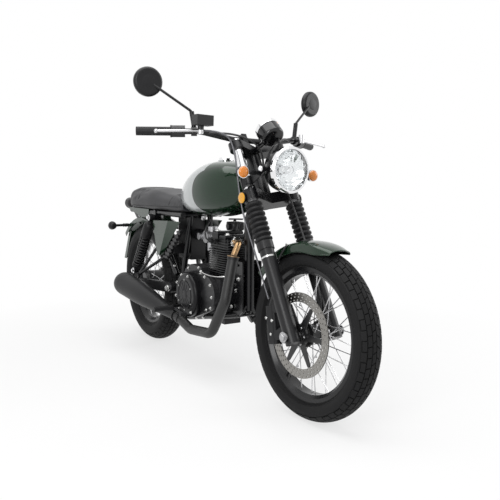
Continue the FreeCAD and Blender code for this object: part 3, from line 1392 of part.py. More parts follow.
def fin_stack(bottom, top, count, length, width, core):
    """Square cooling fins with rounded corners on a round barrel."""
    pitch = (top - bottom) / count
    parts = [Part.makeCylinder(core, top - bottom, V(CYLINDER_X, 0, bottom))]
    for i in range(count):
        z = bottom + (i + 0.5) * pitch - FIN_THICKNESS / 2
        corners = [
            V(CYLINDER_X + sx * length / 2, sy * width / 2, z) for sx, sy in ((-1, -1), (1, -1), (1, 1), (-1, 1))
        ]
        wire = rounded_path(corners, length / 6, closed=True)
        parts.append(Part.Face(wire).extrude(V(0, 0, FIN_THICKNESS)))
    return fused(parts)


def cylinder():
    return fin_stack(CYLINDER_BOTTOM + SEAT_GAP, CYLINDER_TOP, FIN_COUNT, FIN_LENGTH, FIN_WIDTH, BARREL_RADIUS)


PORT_Y = -34.0
PORT_Z = 592.0
PORT_END_X = CYLINDER_X + FIN_LENGTH * 0.53
INLET_END_X = CYLINDER_X - FIN_LENGTH * 0.55


def rocker_box(x, top):
    """One of the two boxes over the valves, across the head."""
    half = ROCKER_BOX_LENGTH / 2
    reach = HEAD_WIDTH / 2
    box = block((x - half, x + half), (-reach, reach), (top - ROCKER_BOX_HEIGHT, top))
    upper = [e for e in box.Edges if e.BoundBox.ZMin > top - OVERRUN]
    return box.makeFillet(ROCKER_BOX_HEIGHT / 4, upper)


def cylinder_head():
    """The finned head with its two rocker boxes, ports and top nuts."""
    fins = fin_stack(CYLINDER_TOP + SEAT_GAP, HEAD_TOP, 4, FIN_LENGTH * 0.94, FIN_WIDTH * 0.92, BARREL_RADIUS)
    half = HEAD_LENGTH / 2
    reach = HEAD_WIDTH / 2 - FIN_THICKNESS
    body = block((CYLINDER_X - half, CYLINDER_X + half), (-reach, reach), (CYLINDER_TOP + SEAT_GAP, HEAD_TOP))
    boxes = [
        rocker_box(CYLINDER_X - ROCKER_BOX_LENGTH * 0.62, HEAD_TOP + ROCKER_BOX_HEIGHT * 0.8),
        rocker_box(CYLINDER_X + ROCKER_BOX_LENGTH * 0.62, HEAD_TOP + ROCKER_BOX_HEIGHT * 0.45),
    ]
    port = rod(V(CYLINDER_X, PORT_Y, PORT_Z), V(PORT_END_X, PORT_Y, PORT_Z), HEADER_RADIUS * 1.5)
    inlet = rod(V(CYLINDER_X, 0, INTAKE_Z), V(INLET_END_X, 0, INTAKE_Z), CARB_BORE_RADIUS)
    return fused([fins, body, port, inlet] + boxes)


CARB_BORE_RADIUS = 22.0
CARB_RADIUS = 27.0
CARB_X = 652.0
CARB_LENGTH = 56.0
INTAKE_Z = 596.0


def carburettor():
    """The carburettor behind the head, with its float bowl, round top and throttle wheel."""
    throat = rod(V(CARB_X - CARB_LENGTH, 0, INTAKE_Z), V(INLET_END_X - SEAT_GAP, 0, INTAKE_Z), CARB_BORE_RADIUS)
    body = across(CARB_X, INTAKE_Z, -CARB_RADIUS * 1.4, CARB_RADIUS * 1.4, CARB_RADIUS)
    bowl = Part.makeCylinder(CARB_RADIUS * 0.9, CARB_LENGTH, V(CARB_X, 0, INTAKE_Z - CARB_LENGTH * 1.1))
    top = Part.makeCylinder(CARB_RADIUS * 0.8, CARB_LENGTH * 0.8, V(CARB_X, 0, INTAKE_Z))
    wheel_x = CARB_X - CARB_LENGTH * 0.66
    wheel = across(wheel_x, INTAKE_Z, -CARB_RADIUS * 1.9, CARB_RADIUS, CARB_RADIUS * 0.55)
    return fused([throat, body, bowl, top, wheel])


AIRBOX_LOW_Z = 478.0
AIRBOX_TOP_Z = 672.0
AIRBOX_HALF_WIDTH = POST_TOP_Y - RAIL_RADIUS - SEAT_GAP


CHAMBER_TOP_X = 563.0
CHAMBER_TOP_Z = 622.0
CHAMBER_LOW_X = 400.0
CHAMBER_LOW_Z = 479.0
CHAMBER_TOP_LENGTH = 32.0
CHAMBER_LOW_LENGTH = 46.0
CHAMBER_Y = 104.0
CHAMBER_DEPTH = 13.0
CHAMBER_RIBS = 8
CHAMBER_RIB_DEPTH = 6.0
CHAMBER_NECK_X = 457.0
CHAMBER_NECK_Z = 528.0


def chamber_span(share):
    """Middle, half length and height of the side chamber at a share down it."""
    x = CHAMBER_TOP_X + (CHAMBER_LOW_X - CHAMBER_TOP_X) * share
    half = (CHAMBER_TOP_LENGTH + (CHAMBER_LOW_LENGTH - CHAMBER_TOP_LENGTH) * share) / 2
    return x, half, CHAMBER_TOP_Z + (CHAMBER_LOW_Z - CHAMBER_TOP_Z) * share


def side_chamber():
    """The slanting ribbed chamber on the right of the air filter box."""
    top_x, top_half, top_z = chamber_span(0)
    low_x, low_half, low_z = chamber_span(1)
    outline = [
        (top_x - top_half, top_z), (top_x + top_half, top_z), (low_x + low_half, low_z), (low_x - low_half, low_z)
    ]
    face = -CHAMBER_Y - CHAMBER_DEPTH
    parts = [side_plate(outline, CHAMBER_RIB_DEPTH, -CHAMBER_Y, face)]
    pitch = 1 / CHAMBER_RIBS
    thick = (CHAMBER_TOP_Z - CHAMBER_LOW_Z) * pitch / 4
    for i in range(CHAMBER_RIBS):
        x, half, z = chamber_span((i + 0.5) * pitch)
        rib = block((x - half, x + half), (face - CHAMBER_RIB_DEPTH, face + OVERRUN), (z - thick, z + thick))
        parts.append(rib)
    return parts


def airbox():
    """The air filter box: a plain core between the posts and a ribbed side chamber."""
    core = block(
        (REAR_TYRE_RADIUS + TUBE_RADIUS * 3, SPINE_END_X - RAIL_RADIUS * 2),
        (-AIRBOX_HALF_WIDTH, AIRBOX_HALF_WIDTH), (AIRBOX_LOW_Z, AIRBOX_TOP_Z),
    )
    boot = rod(
        V(PIVOT_X - OVERRUN, 0, INTAKE_Z), V(CARB_X - CARB_LENGTH - SEAT_GAP, 0, INTAKE_Z), CARB_BORE_RADIUS * 1.15
    )
    neck = block(
        (CHAMBER_NECK_X - TUBE_RADIUS, CHAMBER_NECK_X + TUBE_RADIUS), (-CHAMBER_Y - OVERRUN, -AIRBOX_HALF_WIDTH / 2),
        (CHAMBER_NECK_Z - TUBE_RADIUS, CHAMBER_NECK_Z + TUBE_RADIUS),
    )
    return fused([core, boot, neck] + side_chamber())


def muffler_point(share):
    """A point along the muffler's axis, past its start for a share under zero."""
    start = V(MUFFLER_START_X, MUFFLER_START_Y, MUFFLER_START_Z)
    return start + (V(MUFFLER_END_X, MUFFLER_END_Y, MUFFLER_END_Z) - start) * share


def exhaust_pipe():
    """The header out of the head, down past the down tube and back under the engine."""
    start = V(PORT_END_X + SEAT_GAP, PORT_Y, PORT_Z)
    collar = V(COLLAR_X, COLLAR_Y, COLLAR_Z)
    bend = HEADER_RADIUS * 2
    crook = V(COLLAR_X - HEADER_RADIUS / 2, (PORT_Y + COLLAR_Y) / 2, PORT_Z + HEADER_RADIUS / 2)
    header = bent_tube([start, start + V(bend, 0, 0), crook, collar], HEADER_RADIUS, bend)
    knee = V(COLLAR_X, PIPE_KNEE_Y, PIPE_KNEE_Z)
    outer = bent_tube(
        [
            collar, knee, V(PIPE_HEEL_X, PIPE_HEEL_Y, PIPE_HEEL_Z), V(PIPE_LOW_X, PIPE_LOW_Y, PIPE_LOW_Z),
            muffler_point(-0.06), muffler_point(0),
        ],
        PIPE_RADIUS,
        PIPE_RADIUS * 3,
    )
    flange = rod(collar, collar + (knee - collar).normalize() * PIPE_FLANGE, PIPE_RADIUS * 1.2)
    return fused([header, outer, flange])


MUFFLER_SHARES = ((0.0, 0.37), (0.2, 0.55), (0.62, 0.93), (0.86, 1.0), (0.97, 0.86), (1.0, 0.6))
MUFFLER_OUTLET_SHARE = 0.34


def muffler_form(margin):
    """The silencer's outer form, grown by a margin where something is cut to fit it."""
    start = muffler_point(0)
    end = muffler_point(1)
    length = start.distanceToPoint(end)
    points = [V(length * a, 0, MUFFLER_RADIUS * r + margin) for a, r in MUFFLER_SHARES]
    points[0] = V(SEAT_GAP, 0, points[0].z)
    curve = Part.BSplineCurve()
    curve.interpolate(points)
    closing = Part.makePolygon([points[-1], V(points[-1].x, 0, 0), V(points[0].x, 0, 0), points[0]])
    face = Part.Face(Part.Wire([curve.toShape()] + closing.Edges))
    solid = face.revolve(V(0, 0, 0), V(1, 0, 0), 360)
    solid = solid if solid.Volume > 0 else solid.reversed()
    return moved(solid, FreeCAD.Placement(start, FreeCAD.Rotation(V(1, 0, 0), end - start)))


def muffler():
    """A tapered hollow silencer with a round end and its outlet, along its own axis."""
    low, high = MUFFLER_SHARES[0][0], MUFFLER_SHARES[-1][0]
    inside = [(share, MUFFLER_RADIUS * r - MUFFLER_WALL) for share, r in MUFFLER_SHARES]
    inside[-1] = (high - MUFFLER_WALL / MUFFLER_RADIUS / 4, inside[-1][1])
    inside[0] = (low + MUFFLER_WALL / MUFFLER_RADIUS / 4, inside[0][1])
    inside[2] = (inside[2][0], inside[2][1] - MUFFLER_WALL)
    profile = [(inside[0][0], 0)] + inside + [(inside[-1][0], 0)]
    cavity = turned_between(muffler_point(0), muffler_point(1), profile)
    through = MUFFLER_WALL / MUFFLER_RADIUS
    outlet = rod(muffler_point(high - through), muffler_point(high + through), MUFFLER_RADIUS * MUFFLER_OUTLET_SHARE)
    return muffler_form(0).cut(cavity).cut(outlet)


# Bodywork

def oval_section(x, half_width, bottom, top, power, count=16):
    """A closed rounded section across the bike."""
    points = []
    middle = (top + bottom) / 2
    height = (top - bottom) / 2
    for i in range(count):
        angle = 2 * math.pi * (i + 0.5) / count
        c, s = math.cos(angle), math.sin(angle)
        points.append(
            V(
                x,
                half_width * math.copysign(abs(c) ** power, c),
                middle + height * math.copysign(abs(s) ** power, s),
            )
        )
    curve = Part.BSplineCurve()
    curve.interpolate(points, PeriodicFlag=True)
    return Part.Wire(curve.toShape())


def lofted(sections):
    return Part.makeLoft(sections, True, False)


# Shares along the tank's length from its rear: place, width, bottom and top
TANK_SHARES = (
    (0.0, 0.50, 0.14, 0.50),
    (0.08, 0.66, 0.09, 0.60),
    (0.30, 0.93, 0.0, 0.84),
    (0.56, 1.0, 0.0, 1.0),
    (0.78, 0.86, 0.08, 0.98),
    (0.94, 0.60, 0.22, 0.88),
    (1.0, 0.44, 0.34, 0.76),
)


TANK_ROUNDNESS_SHARE = 0.72
CAP_RADIUS = 30.0
CAP_HEIGHT = 12.0
CAP_X = 776.0
CAP_SEAT_Z = TANK_TOP + 4.0


def tank_body(margin):
    """The tank's outer form, grown by a margin where something is cut to fit round it."""
    height = TANK_TOP - TANK_BOTTOM
    sections = []
    for place, width, low, high in TANK_SHARES:
        x = TANK_REAR_X - margin + (TANK_LENGTH + margin * 2) * place
        sections.append(
            oval_section(
                x, TANK_HALF_WIDTH * width + margin, TANK_BOTTOM + height * low - margin,
                TANK_BOTTOM + height * high + margin, TANK_ROUNDNESS_SHARE,
            )
        )
    return lofted(sections)


def fuel_tank():
    neck_ring = Part.makeCylinder(CAP_RADIUS + OVERRUN, CAP_SEAT_Z - TANK_TOP + CAP_RADIUS, V(CAP_X, 0, TANK_TOP - CAP_RADIUS))
    body = tank_body(0).fuse(neck_ring)
    tunnel_half = TANK_TUNNEL_WIDTH / 2
    front = fork_point(-FORK_OFFSET, 0, HEADSTOCK_HIGH)
    neck = fork_point(-FORK_OFFSET, 0, HEADSTOCK_LOW + (HEADSTOCK_HIGH - HEADSTOCK_LOW) * BACKBONE_SHARE)
    tail = V(SPINE_END_X, 0, SEAT_RAIL_Z)
    slope = (neck.z - tail.z) / (neck.x - tail.x)
    lift = TUBE_RADIUS + RUNNING_GAP

    def roof(x):
        return tail.z + (x - tail.x) * slope + lift

    start_x = TANK_REAR_X - OVERRUN
    outline = [
        V(start_x, -tunnel_half, TANK_BOTTOM - CRADLE_Y),
        V(start_x, -tunnel_half, roof(start_x)),
        V(front.x + HEADSTOCK_RADIUS, -tunnel_half, roof(front.x + HEADSTOCK_RADIUS)),
        V(front.x + HEADSTOCK_RADIUS, -tunnel_half, TANK_BOTTOM - CRADLE_Y),
    ]
    tunnel = Part.Face(Part.makePolygon(outline + outline[:1])).extrude(V(0, TANK_TUNNEL_WIDTH, 0))
    return body.cut(tunnel)


def filler_cap():
    base = Part.makeCylinder(CAP_RADIUS, CAP_HEIGHT, V(CAP_X, 0, CAP_SEAT_Z + SEAT_GAP))
    return base.makeFillet(CAP_HEIGHT / 3, [base.Edges[0]])


# Shares along the seat's length from its rear: place, width, bottom and top
SEAT_SHARES = (
    (0.0, 0.52, 0.20, 0.72),
    (0.05, 0.80, -0.04, 0.93),
    (0.20, 1.0, -0.12, 1.0),
    (0.50, 1.0, -0.12, 0.94),
    (0.80, 0.90, -0.12, 0.72),
    (0.95, 0.84, -0.12, 0.66),
    (1.0, 0.80, -0.06, 0.60),
)


SEAT_ROUNDNESS_SHARE = 0.55
SEAT_TANK_GAP = 0.3


def seat():
    bottom = SEAT_RAIL_Z + RAIL_RADIUS + SEAT_GAP
    height = SEAT_TOP - bottom
    sections = [
        oval_section(
            SEAT_REAR_X + SEAT_LENGTH * place, SEAT_HALF_WIDTH * width,
            bottom + height * low, bottom + height * high, SEAT_ROUNDNESS_SHARE,
        )
        for place, width, low, high in SEAT_SHARES
    ]
    below = block(
        (SEAT_REAR_X - OVERRUN, SEAT_REAR_X + SEAT_LENGTH + OVERRUN), (-ACROSS_REACH, ACROSS_REACH), (bottom - height, bottom)
    )
    return lofted(sections).cut(below).cut(tank_body(SEAT_TANK_GAP)).cut(backbone(SEAT_TANK_GAP))


PANEL_Y = 126.0
PANEL_INNER_Y = 108.0
PANEL_REAR_X = 273.0
PANEL_FRONT_X = 449.0
PANEL_TOP_Z = 650.0
PANEL_LOW_Z = 489.0
PANEL_TIP_X = 322.0
PANEL_TIP_LENGTH = 24.0
PANEL_TOP_RISE = 8.0
PANEL_BEVEL = 96.0
PANEL_STUD_SHARES = (0.51, 0.60)
SKIRT_Y = SEAT_RAIL_Y + RAIL_RADIUS + SEAT_GAP
SKIRT_REAR_X = -108.0
SKIRT_FRONT_X = 192.0
SKIRT_TOP_Z = SEAT_RAIL_Z + RAIL_RADIUS
SKIRT_DEPTH = 44.0


def side_panel():
    """The right panel: a flat face with a long bevel towards the engine."""
    rear = [(PANEL_TIP_X, PANEL_LOW_Z), (PANEL_REAR_X, PANEL_TOP_Z)]
    flat = [(PANEL_FRONT_X, PANEL_TOP_Z + PANEL_TOP_RISE), (PANEL_TIP_X + PANEL_TIP_LENGTH, PANEL_LOW_Z)]
    bevel = [(PANEL_FRONT_X + PANEL_BEVEL, PANEL_TOP_Z + PANEL_TOP_RISE), flat[1]]
    wires = []
    for outline, y in ((rear + flat, -PANEL_Y), (rear + bevel, -PANEL_INNER_Y)):
        points = [V(x, y, z) for x, z in outline]
        wires.append(Part.makePolygon(points + points[:1]))
    return Part.makeLoft(wires, True, True)


def tail_skirt():
    """The painted strip under the seat's edge, right side."""
    low = SKIRT_TOP_Z - SKIRT_DEPTH
    outline = [
        (SKIRT_REAR_X, SKIRT_TOP_Z), (SKIRT_FRONT_X, SKIRT_TOP_Z), (SKIRT_FRONT_X - RAIL_RADIUS, low),
        (SKIRT_FRONT_X / 2, low), (SKIRT_REAR_X / 2, SKIRT_TOP_Z - RAIL_RADIUS),
    ]
    return side_plate(outline, RAIL_RADIUS / 3, -SKIRT_Y, -SKIRT_Y - GUARD_THICKNESS)


def side_panels():
    """The triangular panel each side on its studs, and the strip under the seat's edge."""
    studs = []
    for share in PANEL_STUD_SHARES:
        root = stay_point(share, -1)
        studs.append(across(root.x, root.z, -PANEL_INNER_Y - OVERRUN, root.y, RAIL_RADIUS / 2))
    stay = rod(stay_point(0, -1), stay_point(1, -1), RAIL_RADIUS + SEAT_GAP)
    panel = fused([side_panel()] + studs).cut(stay)
    return Part.makeCompound([panel, mirrored(panel), tail_skirt(), mirrored(tail_skirt())])


BRACKET_TOP_X = -243.0
BRACKET_TOP_Z = 606.0
BRACKET_LOW_X = -349.0
BRACKET_LOW_Z = 398.0
BRACKET_HALF_WIDTH = 40.0
BRACKET_DEPTH = 30.0
SLOT_SHARES = (0.10, 0.36)


def bracket_slice(from_share, to_share, rear, front, half):
    """A slanting slice of the number plate's bracket between two shares of its height."""
    outline = []
    for share, ahead in ((from_share, rear), (from_share, front), (to_share, front), (to_share, rear)):
        x = BRACKET_TOP_X + (BRACKET_LOW_X - BRACKET_TOP_X) * share + ahead
        outline.append((x, BRACKET_TOP_Z + (BRACKET_LOW_Z - BRACKET_TOP_Z) * share))
    return side_plate(outline, GUARD_THICKNESS / 2, -half, half)


def plate_bracket():
    """A back plate with a slotted flange each side, where the number plate would be."""
    body = bracket_slice(0, 1, 0, BRACKET_DEPTH, BRACKET_HALF_WIDTH)
    room = bracket_slice(-0.1, 1.1, GUARD_THICKNESS, BRACKET_DEPTH * 2, BRACKET_HALF_WIDTH - GUARD_THICKNESS)
    slot = bracket_slice(*SLOT_SHARES, BRACKET_DEPTH * 0.25, BRACKET_DEPTH * 0.75, BRACKET_HALF_WIDTH * 2)
    return body.cut(room).cut(slot)


def rear_mudguard():
    """The guard over the rear tyre, hung from the seat rails, with the plate's bracket."""
    shell = guard(
        REAR_AXLE, REAR_GUARD_RADIUS, REAR_GUARD_WIDTH, REAR_GUARD_SKIRT, REAR_GUARD_START_ANGLE,
        REAR_GUARD_SWEEP_ANGLE,
    )
    parts = [shell, plate_bracket()]
    for x in GUARD_MOUNT_XS:
        low = REAR_AXLE.z + math.sqrt(REAR_GUARD_RADIUS**2 - x**2) - GUARD_THICKNESS * 3
        parts.append(block((x - RAIL_RADIUS, x + RAIL_RADIUS), (-TUBE_RADIUS, TUBE_RADIUS), (low, SEAT_RAIL_Z)))
    body = fused(parts)
    for x in GUARD_MOUNT_XS:
        body = body.cut(across(x, SEAT_RAIL_Z, -SEAT_RAIL_Y, SEAT_RAIL_Y, RAIL_RADIUS + SEAT_GAP))
    return body


def tail_lamp():
    """A round lamp behind the seat on its bracket from the mudguard."""
    middle = V(TAIL_LAMP_END_X, 0, TAIL_LAMP_Z)
    radius = TAIL_LAMP_RADIUS
    length = TAIL_LAMP_LENGTH
    profile = [(0, 0), (0, radius * 0.6), (radius * 0.25, radius * 0.88), (radius * 0.6, radius)]
    profile += [(length * 0.7, radius), (length, radius * 0.7), (length, 0)]
    lamp = turned_about_x(profile, middle)
    foot = V(REAR_SIGNAL_X + RAIL_RADIUS, -TUBE_RADIUS, REAR_SIGNAL_Z)
    bracket = link_plate(
        foot, TUBE_RADIUS, V(TAIL_LAMP_END_X + length * 0.75, -TUBE_RADIUS, TAIL_LAMP_Z), TUBE_RADIUS * 0.8,
        V(0, 1, 0), TUBE_RADIUS * 2,
    )
    room = Part.makeCylinder(
        REAR_GUARD_RADIUS + SEAT_GAP, ACROSS_REACH, REAR_AXLE - V(0, ACROSS_REACH / 2, 0), V(0, 1, 0)
    )
    return fused([lamp, bracket.cut(room)])


def rear_lamps():
    """The tail lamp and a round signal each side."""
    right = signal(REAR_SIGNAL_X, -REAR_GUARD_WIDTH / 2 - SEAT_GAP, -SIGNAL_SPREAD, REAR_SIGNAL_Z, -1)
    return Part.makeCompound([tail_lamp(), right, mirrored(right)])


PEG_ELBOW_X = 590.0
CARRIER_KNEE_X = 548.0
CARRIER_KNEE_Y = 112.0
CARRIER_KNEE_Z = 275.0


def footrests():
    """A peg each side on a bent carrier from the pivot plates, with a pedal or lever ahead of it."""
    elbow = V(PEG_ELBOW_X, -PEG_ELBOW_Y, PEG_Z)
    root = V(PEG_X, -PEG_ROOT_Y, PEG_Z)
    carrier = bent_tube(
        [
            V(PEG_FOOT_X, -CRADLE_Y - RAIL_RADIUS - SEAT_GAP, cradle_z(PEG_FOOT_X)),
            V(PEG_FOOT_X, -CARRIER_KNEE_Y, cradle_z(PEG_FOOT_X)),
            V(CARRIER_KNEE_X, -CARRIER_KNEE_Y, CARRIER_KNEE_Z),
            elbow,
            root,
        ],
        PEG_CARRIER_RADIUS,
        PEG_CARRIER_RADIUS * 2,
    )
    peg = across(PEG_X, PEG_Z, -PEG_TIP_Y, -PEG_ROOT_Y, PEG_RADIUS)
    arm_start = (elbow + root) / 2
    arm_end = V(PEDAL_X, arm_start.y, PEDAL_Z)
    arm = rod(arm_start, arm_end, PEDAL_RADIUS)
    pad = across(PEDAL_X, PEDAL_Z, arm_end.y - PEG_RADIUS * 1.5, arm_end.y + PEG_RADIUS, PEDAL_RADIUS * 1.6)
    return both_sides(fused([carrier, peg, arm, pad]))


STAND_PIVOT = V(STAND_PIVOT_X, STAND_PIVOT_Y, STAND_PIVOT_Z)
STAND_FOOT = V(STAND_PIVOT_X + STAND_FOOT_AHEAD, STAND_FOOT_Y, STAND_LEG_RADIUS)
STAND_DOWN = (STAND_FOOT - STAND_PIVOT).normalize()
STAND_STOWED = V(-1, STAND_STOWED_OUT_SHARE, -STAND_STOWED_DOWN_SHARE).normalize()
STAND_AXIS = STAND_DOWN.cross(STAND_STOWED).normalize()
STAND_RANGE = math.degrees(STAND_DOWN.getAngle(STAND_STOWED))
STAND_EYE_RADIUS = STAND_LEG_RADIUS * 1.35
STAND_EYE_HALF = STAND_LEG_RADIUS * 1.05
STAND_FACE_GAP = 1.0


def side_stand():
    """One leg with its eye on the frame's bolt and a flat foot on the floor."""
    eye = rod(STAND_PIVOT - STAND_AXIS * STAND_EYE_HALF, STAND_PIVOT + STAND_AXIS * STAND_EYE_HALF, STAND_EYE_RADIUS)
    leg = rod(STAND_PIVOT, STAND_FOOT, STAND_LEG_RADIUS)
    long_half = STAND_LEG_RADIUS * 2.2
    wide_half = STAND_LEG_RADIUS * 1.6
    foot = block(
        (STAND_FOOT.x - long_half, STAND_FOOT.x + long_half),
        (STAND_FOOT.y - wide_half, STAND_FOOT.y + wide_half),
        (0, STAND_LEG_RADIUS * 0.8),
    )
    reach = STAND_EYE_HALF + OVERRUN
    bore = rod(STAND_PIVOT - STAND_AXIS * reach, STAND_PIVOT + STAND_AXIS * reach, STAND_BOLT_RADIUS + PIN_GAP)
    below = block(
        (STAND_FOOT.x - ACROSS_REACH, STAND_FOOT.x + ACROSS_REACH), (0, STAND_FOOT.y + ACROSS_REACH), (-ACROSS_REACH, 0)
    )
    return fused([eye, leg, foot]).cut(bore).cut(below)


FRONT_WHEEL = {
    "front_tyre": lambda: tyre(
        FRONT_AXLE, FRONT_TYRE_RADIUS, FRONT_TYRE_WIDTH, FRONT_BEAD_RADIUS, FRONT_RIM_WIDTH, TURN
    ),
    "front_rim": lambda: rim(FRONT_AXLE, FRONT_BEAD_RADIUS, FRONT_RIM_WIDTH),
    "front_hub": front_hub,
    "brake_disc": brake_disc,
}
STEERING = {
    "front_axle": front_axle,
    "fork_sliders": fork_sliders,
    "stanchions": stanchions,
    "fork_gaiters": fork_gaiters,
    "fork_clamps": fork_clamps,
    "handlebar": handlebar,
    "grips": grips,
    "hand_controls": hand_controls,
    "mirrors": mirrors,
    "speedometer": speedometer,
    "headlamp": headlamp,
    "headlamp_ring": headlamp_ring,
    "headlamp_lens": headlamp_lens,
    "front_signals": front_signals,
    "front_mudguard": front_mudguard,
    "brake_caliper": brake_caliper,
    "control_cables": control_cables,
}
CHASSIS = {
    "frame": frame,
    "seat_frame": seat_frame,
    "swingarm": swingarm,
    "pivot_shaft": pivot_shaft,
    "rear_axle": rear_axle,
    "rear_shocks": rear_shocks,
    "drive_chain": drive_chain,
    "chain_guard": chain_guard,
    "crankcase": crankcase,
    "engine_covers": engine_covers,
    "cylinder": cylinder,
    "cylinder_head": cylinder_head,
    "carburettor": carburettor,
    "airbox": airbox,
    "exhaust_pipe": exhaust_pipe,
    "muffler": muffler,
    "fuel_tank": fuel_tank,
    "filler_cap": filler_cap,
    "seat": seat,
    "side_panels": side_panels,
    "rear_mudguard": rear_mudguard,
    "rear_lamps": rear_lamps,
    "footrests": footrests,
}
REAR_WHEEL = {
    "rear_tyre": lambda: tyre(
        REAR_AXLE, REAR_TYRE_RADIUS, REAR_TYRE_WIDTH, REAR_BEAD_RADIUS, REAR_RIM_WIDTH, FreeCAD.Placement()
    ),
    "rear_rim": lambda: rim(REAR_AXLE, REAR_BEAD_RADIUS, REAR_RIM_WIDTH),
    "rear_hub": rear_hub,
    "rear_sprocket": rear_sprocket,
}
STAND = {"side_stand": side_stand}


def write(nodes, placement):
    for name, build in nodes.items():
        shape = moved(build(), placement)
        shape.exportStep("parts/" + name + ".step")
        box = shape.BoundBox
        print(name, shape.isValid(), len(shape.Solids), round(shape.Volume), [round(v, 1) for v in (box.XMin, box.XMax, box.YMin, box.YMax, box.ZMin, box.ZMax)])


os.makedirs("parts", exist_ok=True)
STEERED = TO_ORIGIN.multiply(TURN)
write(FRONT_WHEEL, STEERED)
write(STEERING, STEERED)
write(CHASSIS, TO_ORIGIN)
write(REAR_WHEEL, TO_ORIGIN)
write(STAND, TO_ORIGIN)
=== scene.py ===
import itertools
import json
import math

import bmesh
import bpy
from mathutils import Matrix, Vector
from mathutils.bvhtree import BVHTree

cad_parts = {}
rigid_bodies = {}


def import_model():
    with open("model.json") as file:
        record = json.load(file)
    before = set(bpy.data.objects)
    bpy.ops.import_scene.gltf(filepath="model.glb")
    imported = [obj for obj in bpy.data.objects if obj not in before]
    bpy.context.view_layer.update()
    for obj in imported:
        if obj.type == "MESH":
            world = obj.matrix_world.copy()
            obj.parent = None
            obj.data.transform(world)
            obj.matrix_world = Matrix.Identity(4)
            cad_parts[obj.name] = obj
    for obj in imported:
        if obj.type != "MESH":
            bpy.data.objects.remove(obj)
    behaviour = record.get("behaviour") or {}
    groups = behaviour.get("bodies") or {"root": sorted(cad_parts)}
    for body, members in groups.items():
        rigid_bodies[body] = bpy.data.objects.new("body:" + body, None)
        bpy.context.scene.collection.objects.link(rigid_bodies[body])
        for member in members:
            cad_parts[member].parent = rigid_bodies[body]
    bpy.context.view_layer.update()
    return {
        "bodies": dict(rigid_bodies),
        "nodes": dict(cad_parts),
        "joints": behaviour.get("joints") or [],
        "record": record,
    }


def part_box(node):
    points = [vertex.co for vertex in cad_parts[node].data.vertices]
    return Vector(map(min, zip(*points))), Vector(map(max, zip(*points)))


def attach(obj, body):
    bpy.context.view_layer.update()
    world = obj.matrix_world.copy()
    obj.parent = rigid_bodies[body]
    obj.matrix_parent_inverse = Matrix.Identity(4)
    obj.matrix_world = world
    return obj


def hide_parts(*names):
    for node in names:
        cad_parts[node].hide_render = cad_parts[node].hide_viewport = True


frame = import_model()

# A solo retro motorcycle on its side stand. Metres, +X forward, +Y to the rider's left, +Z up.

# Camera, as in the photograph
CAMERA_PLACE = Vector((2.5331, -1.3608, 0.8537))
CAMERA_YAW = 148.6
CAMERA_PITCH = -6.3
CAMERA_ROLL = 0.1
CAMERA_LENS = 46.85

# Degrees that the bar is turned to the left
STEER_PARKED = 4.6

JOINTS = {joint["name"]: joint for joint in frame["record"]["behaviour"]["joints"]}


# Places

def steered_frame():
    """The steering's turn from straight ahead, about its own axis."""
    joint = JOINTS["steering_turn"]
    place = Vector(joint["pos_m"])
    turn = Matrix.Rotation(math.radians(STEER_PARKED), 4, Vector(joint["axis"]))
    return Matrix.Translation(place) @ turn @ Matrix.Translation(-place)


def wheel_frame(joint_name):
    """A wheel's own frame: its centre, with Y along its axle and Z up."""
    joint = JOINTS[joint_name]
    along = Vector(joint["axis"]).normalized()
    ahead = along.cross(Vector((0, 0, 1))).normalized()
    up = ahead.cross(along)
    turn = Matrix((ahead, along, up)).transposed().to_4x4()
    return Matrix.Translation(Vector(joint["pos_m"])) @ turn


STEERED = steered_frame()
FRONT_WHEEL = wheel_frame("front_wheel_turn")
REAR_WHEEL = wheel_frame("rear_wheel_turn")

MM = 0.001
# Millimetres from under the rear axle to the middle of the length
SHIFT = 666.8
# Along the fork and square to it
RAKE = math.radians(29.5)
AHEAD = Vector((math.cos(RAKE), 0, math.sin(RAKE)))
UP = Vector((-math.sin(RAKE), 0, math.cos(RAKE)))
FRONT_AXLE_X, FRONT_AXLE_Z = 1392, 308
LEG_Y = 97.5
SIDES = ((-1, "right"), (1, "left"))


def at(x, y, z):
    """A place from the drawing's millimetres, measured from under the rear axle."""
    return Vector(((x - SHIFT) * MM, y * MM, z * MM))


def steered(x, y, z):
    """A place on the steering, drawn straight ahead."""
    return STEERED @ at(x, y, z)


def steered_way(x, y, z):
    """A direction on the steering, drawn straight ahead."""
    return STEERED.to_3x3() @ Vector((x, y, z))


def fork(ahead, y, along):
    """A place on the fork: ahead of its legs, to the left, and up from the axle."""
    return STEERED @ (at(FRONT_AXLE_X, y, FRONT_AXLE_Z) + (AHEAD * ahead + UP * along) * MM)


def polar(radius, angle):
    """A place round a centre."""
    return radius * math.cos(angle), radius * math.sin(angle)


# Material helpers

def new_material(name):
    """An empty material with one shader on its surface."""
    material = bpy.data.materials.new(name)
    material.use_nodes = True
    material.node_tree.nodes.clear()
    shader = add_node(material, "BsdfPrincipled")
    link(material, shader.outputs["BSDF"], add_node(material, "OutputMaterial").inputs["Surface"])
    return material, shader


def add_node(material, kind, **values):
    """A new shader node, in a material or the world, with its inputs or settings."""
    node = material.node_tree.nodes.new("ShaderNode" + kind)
    for key, value in values.items():
        if key in node.inputs:
            node.inputs[key].default_value = value
        else:
            setattr(node, key, value)
    return node


def link(material, source, target):
    """Joins two sockets."""
    material.node_tree.links.new(source, target)


def fed(material, kind, source, socket="Vector", **values):
    """A new node with a source linked to one of its inputs."""
    node = add_node(material, kind, **values)
    link(material, source, node.inputs[socket])
    return node


def place_of(material):
    """Coordinates in the motorcycle's own frame."""
    return add_node(material, "TexCoord").outputs["Object"]


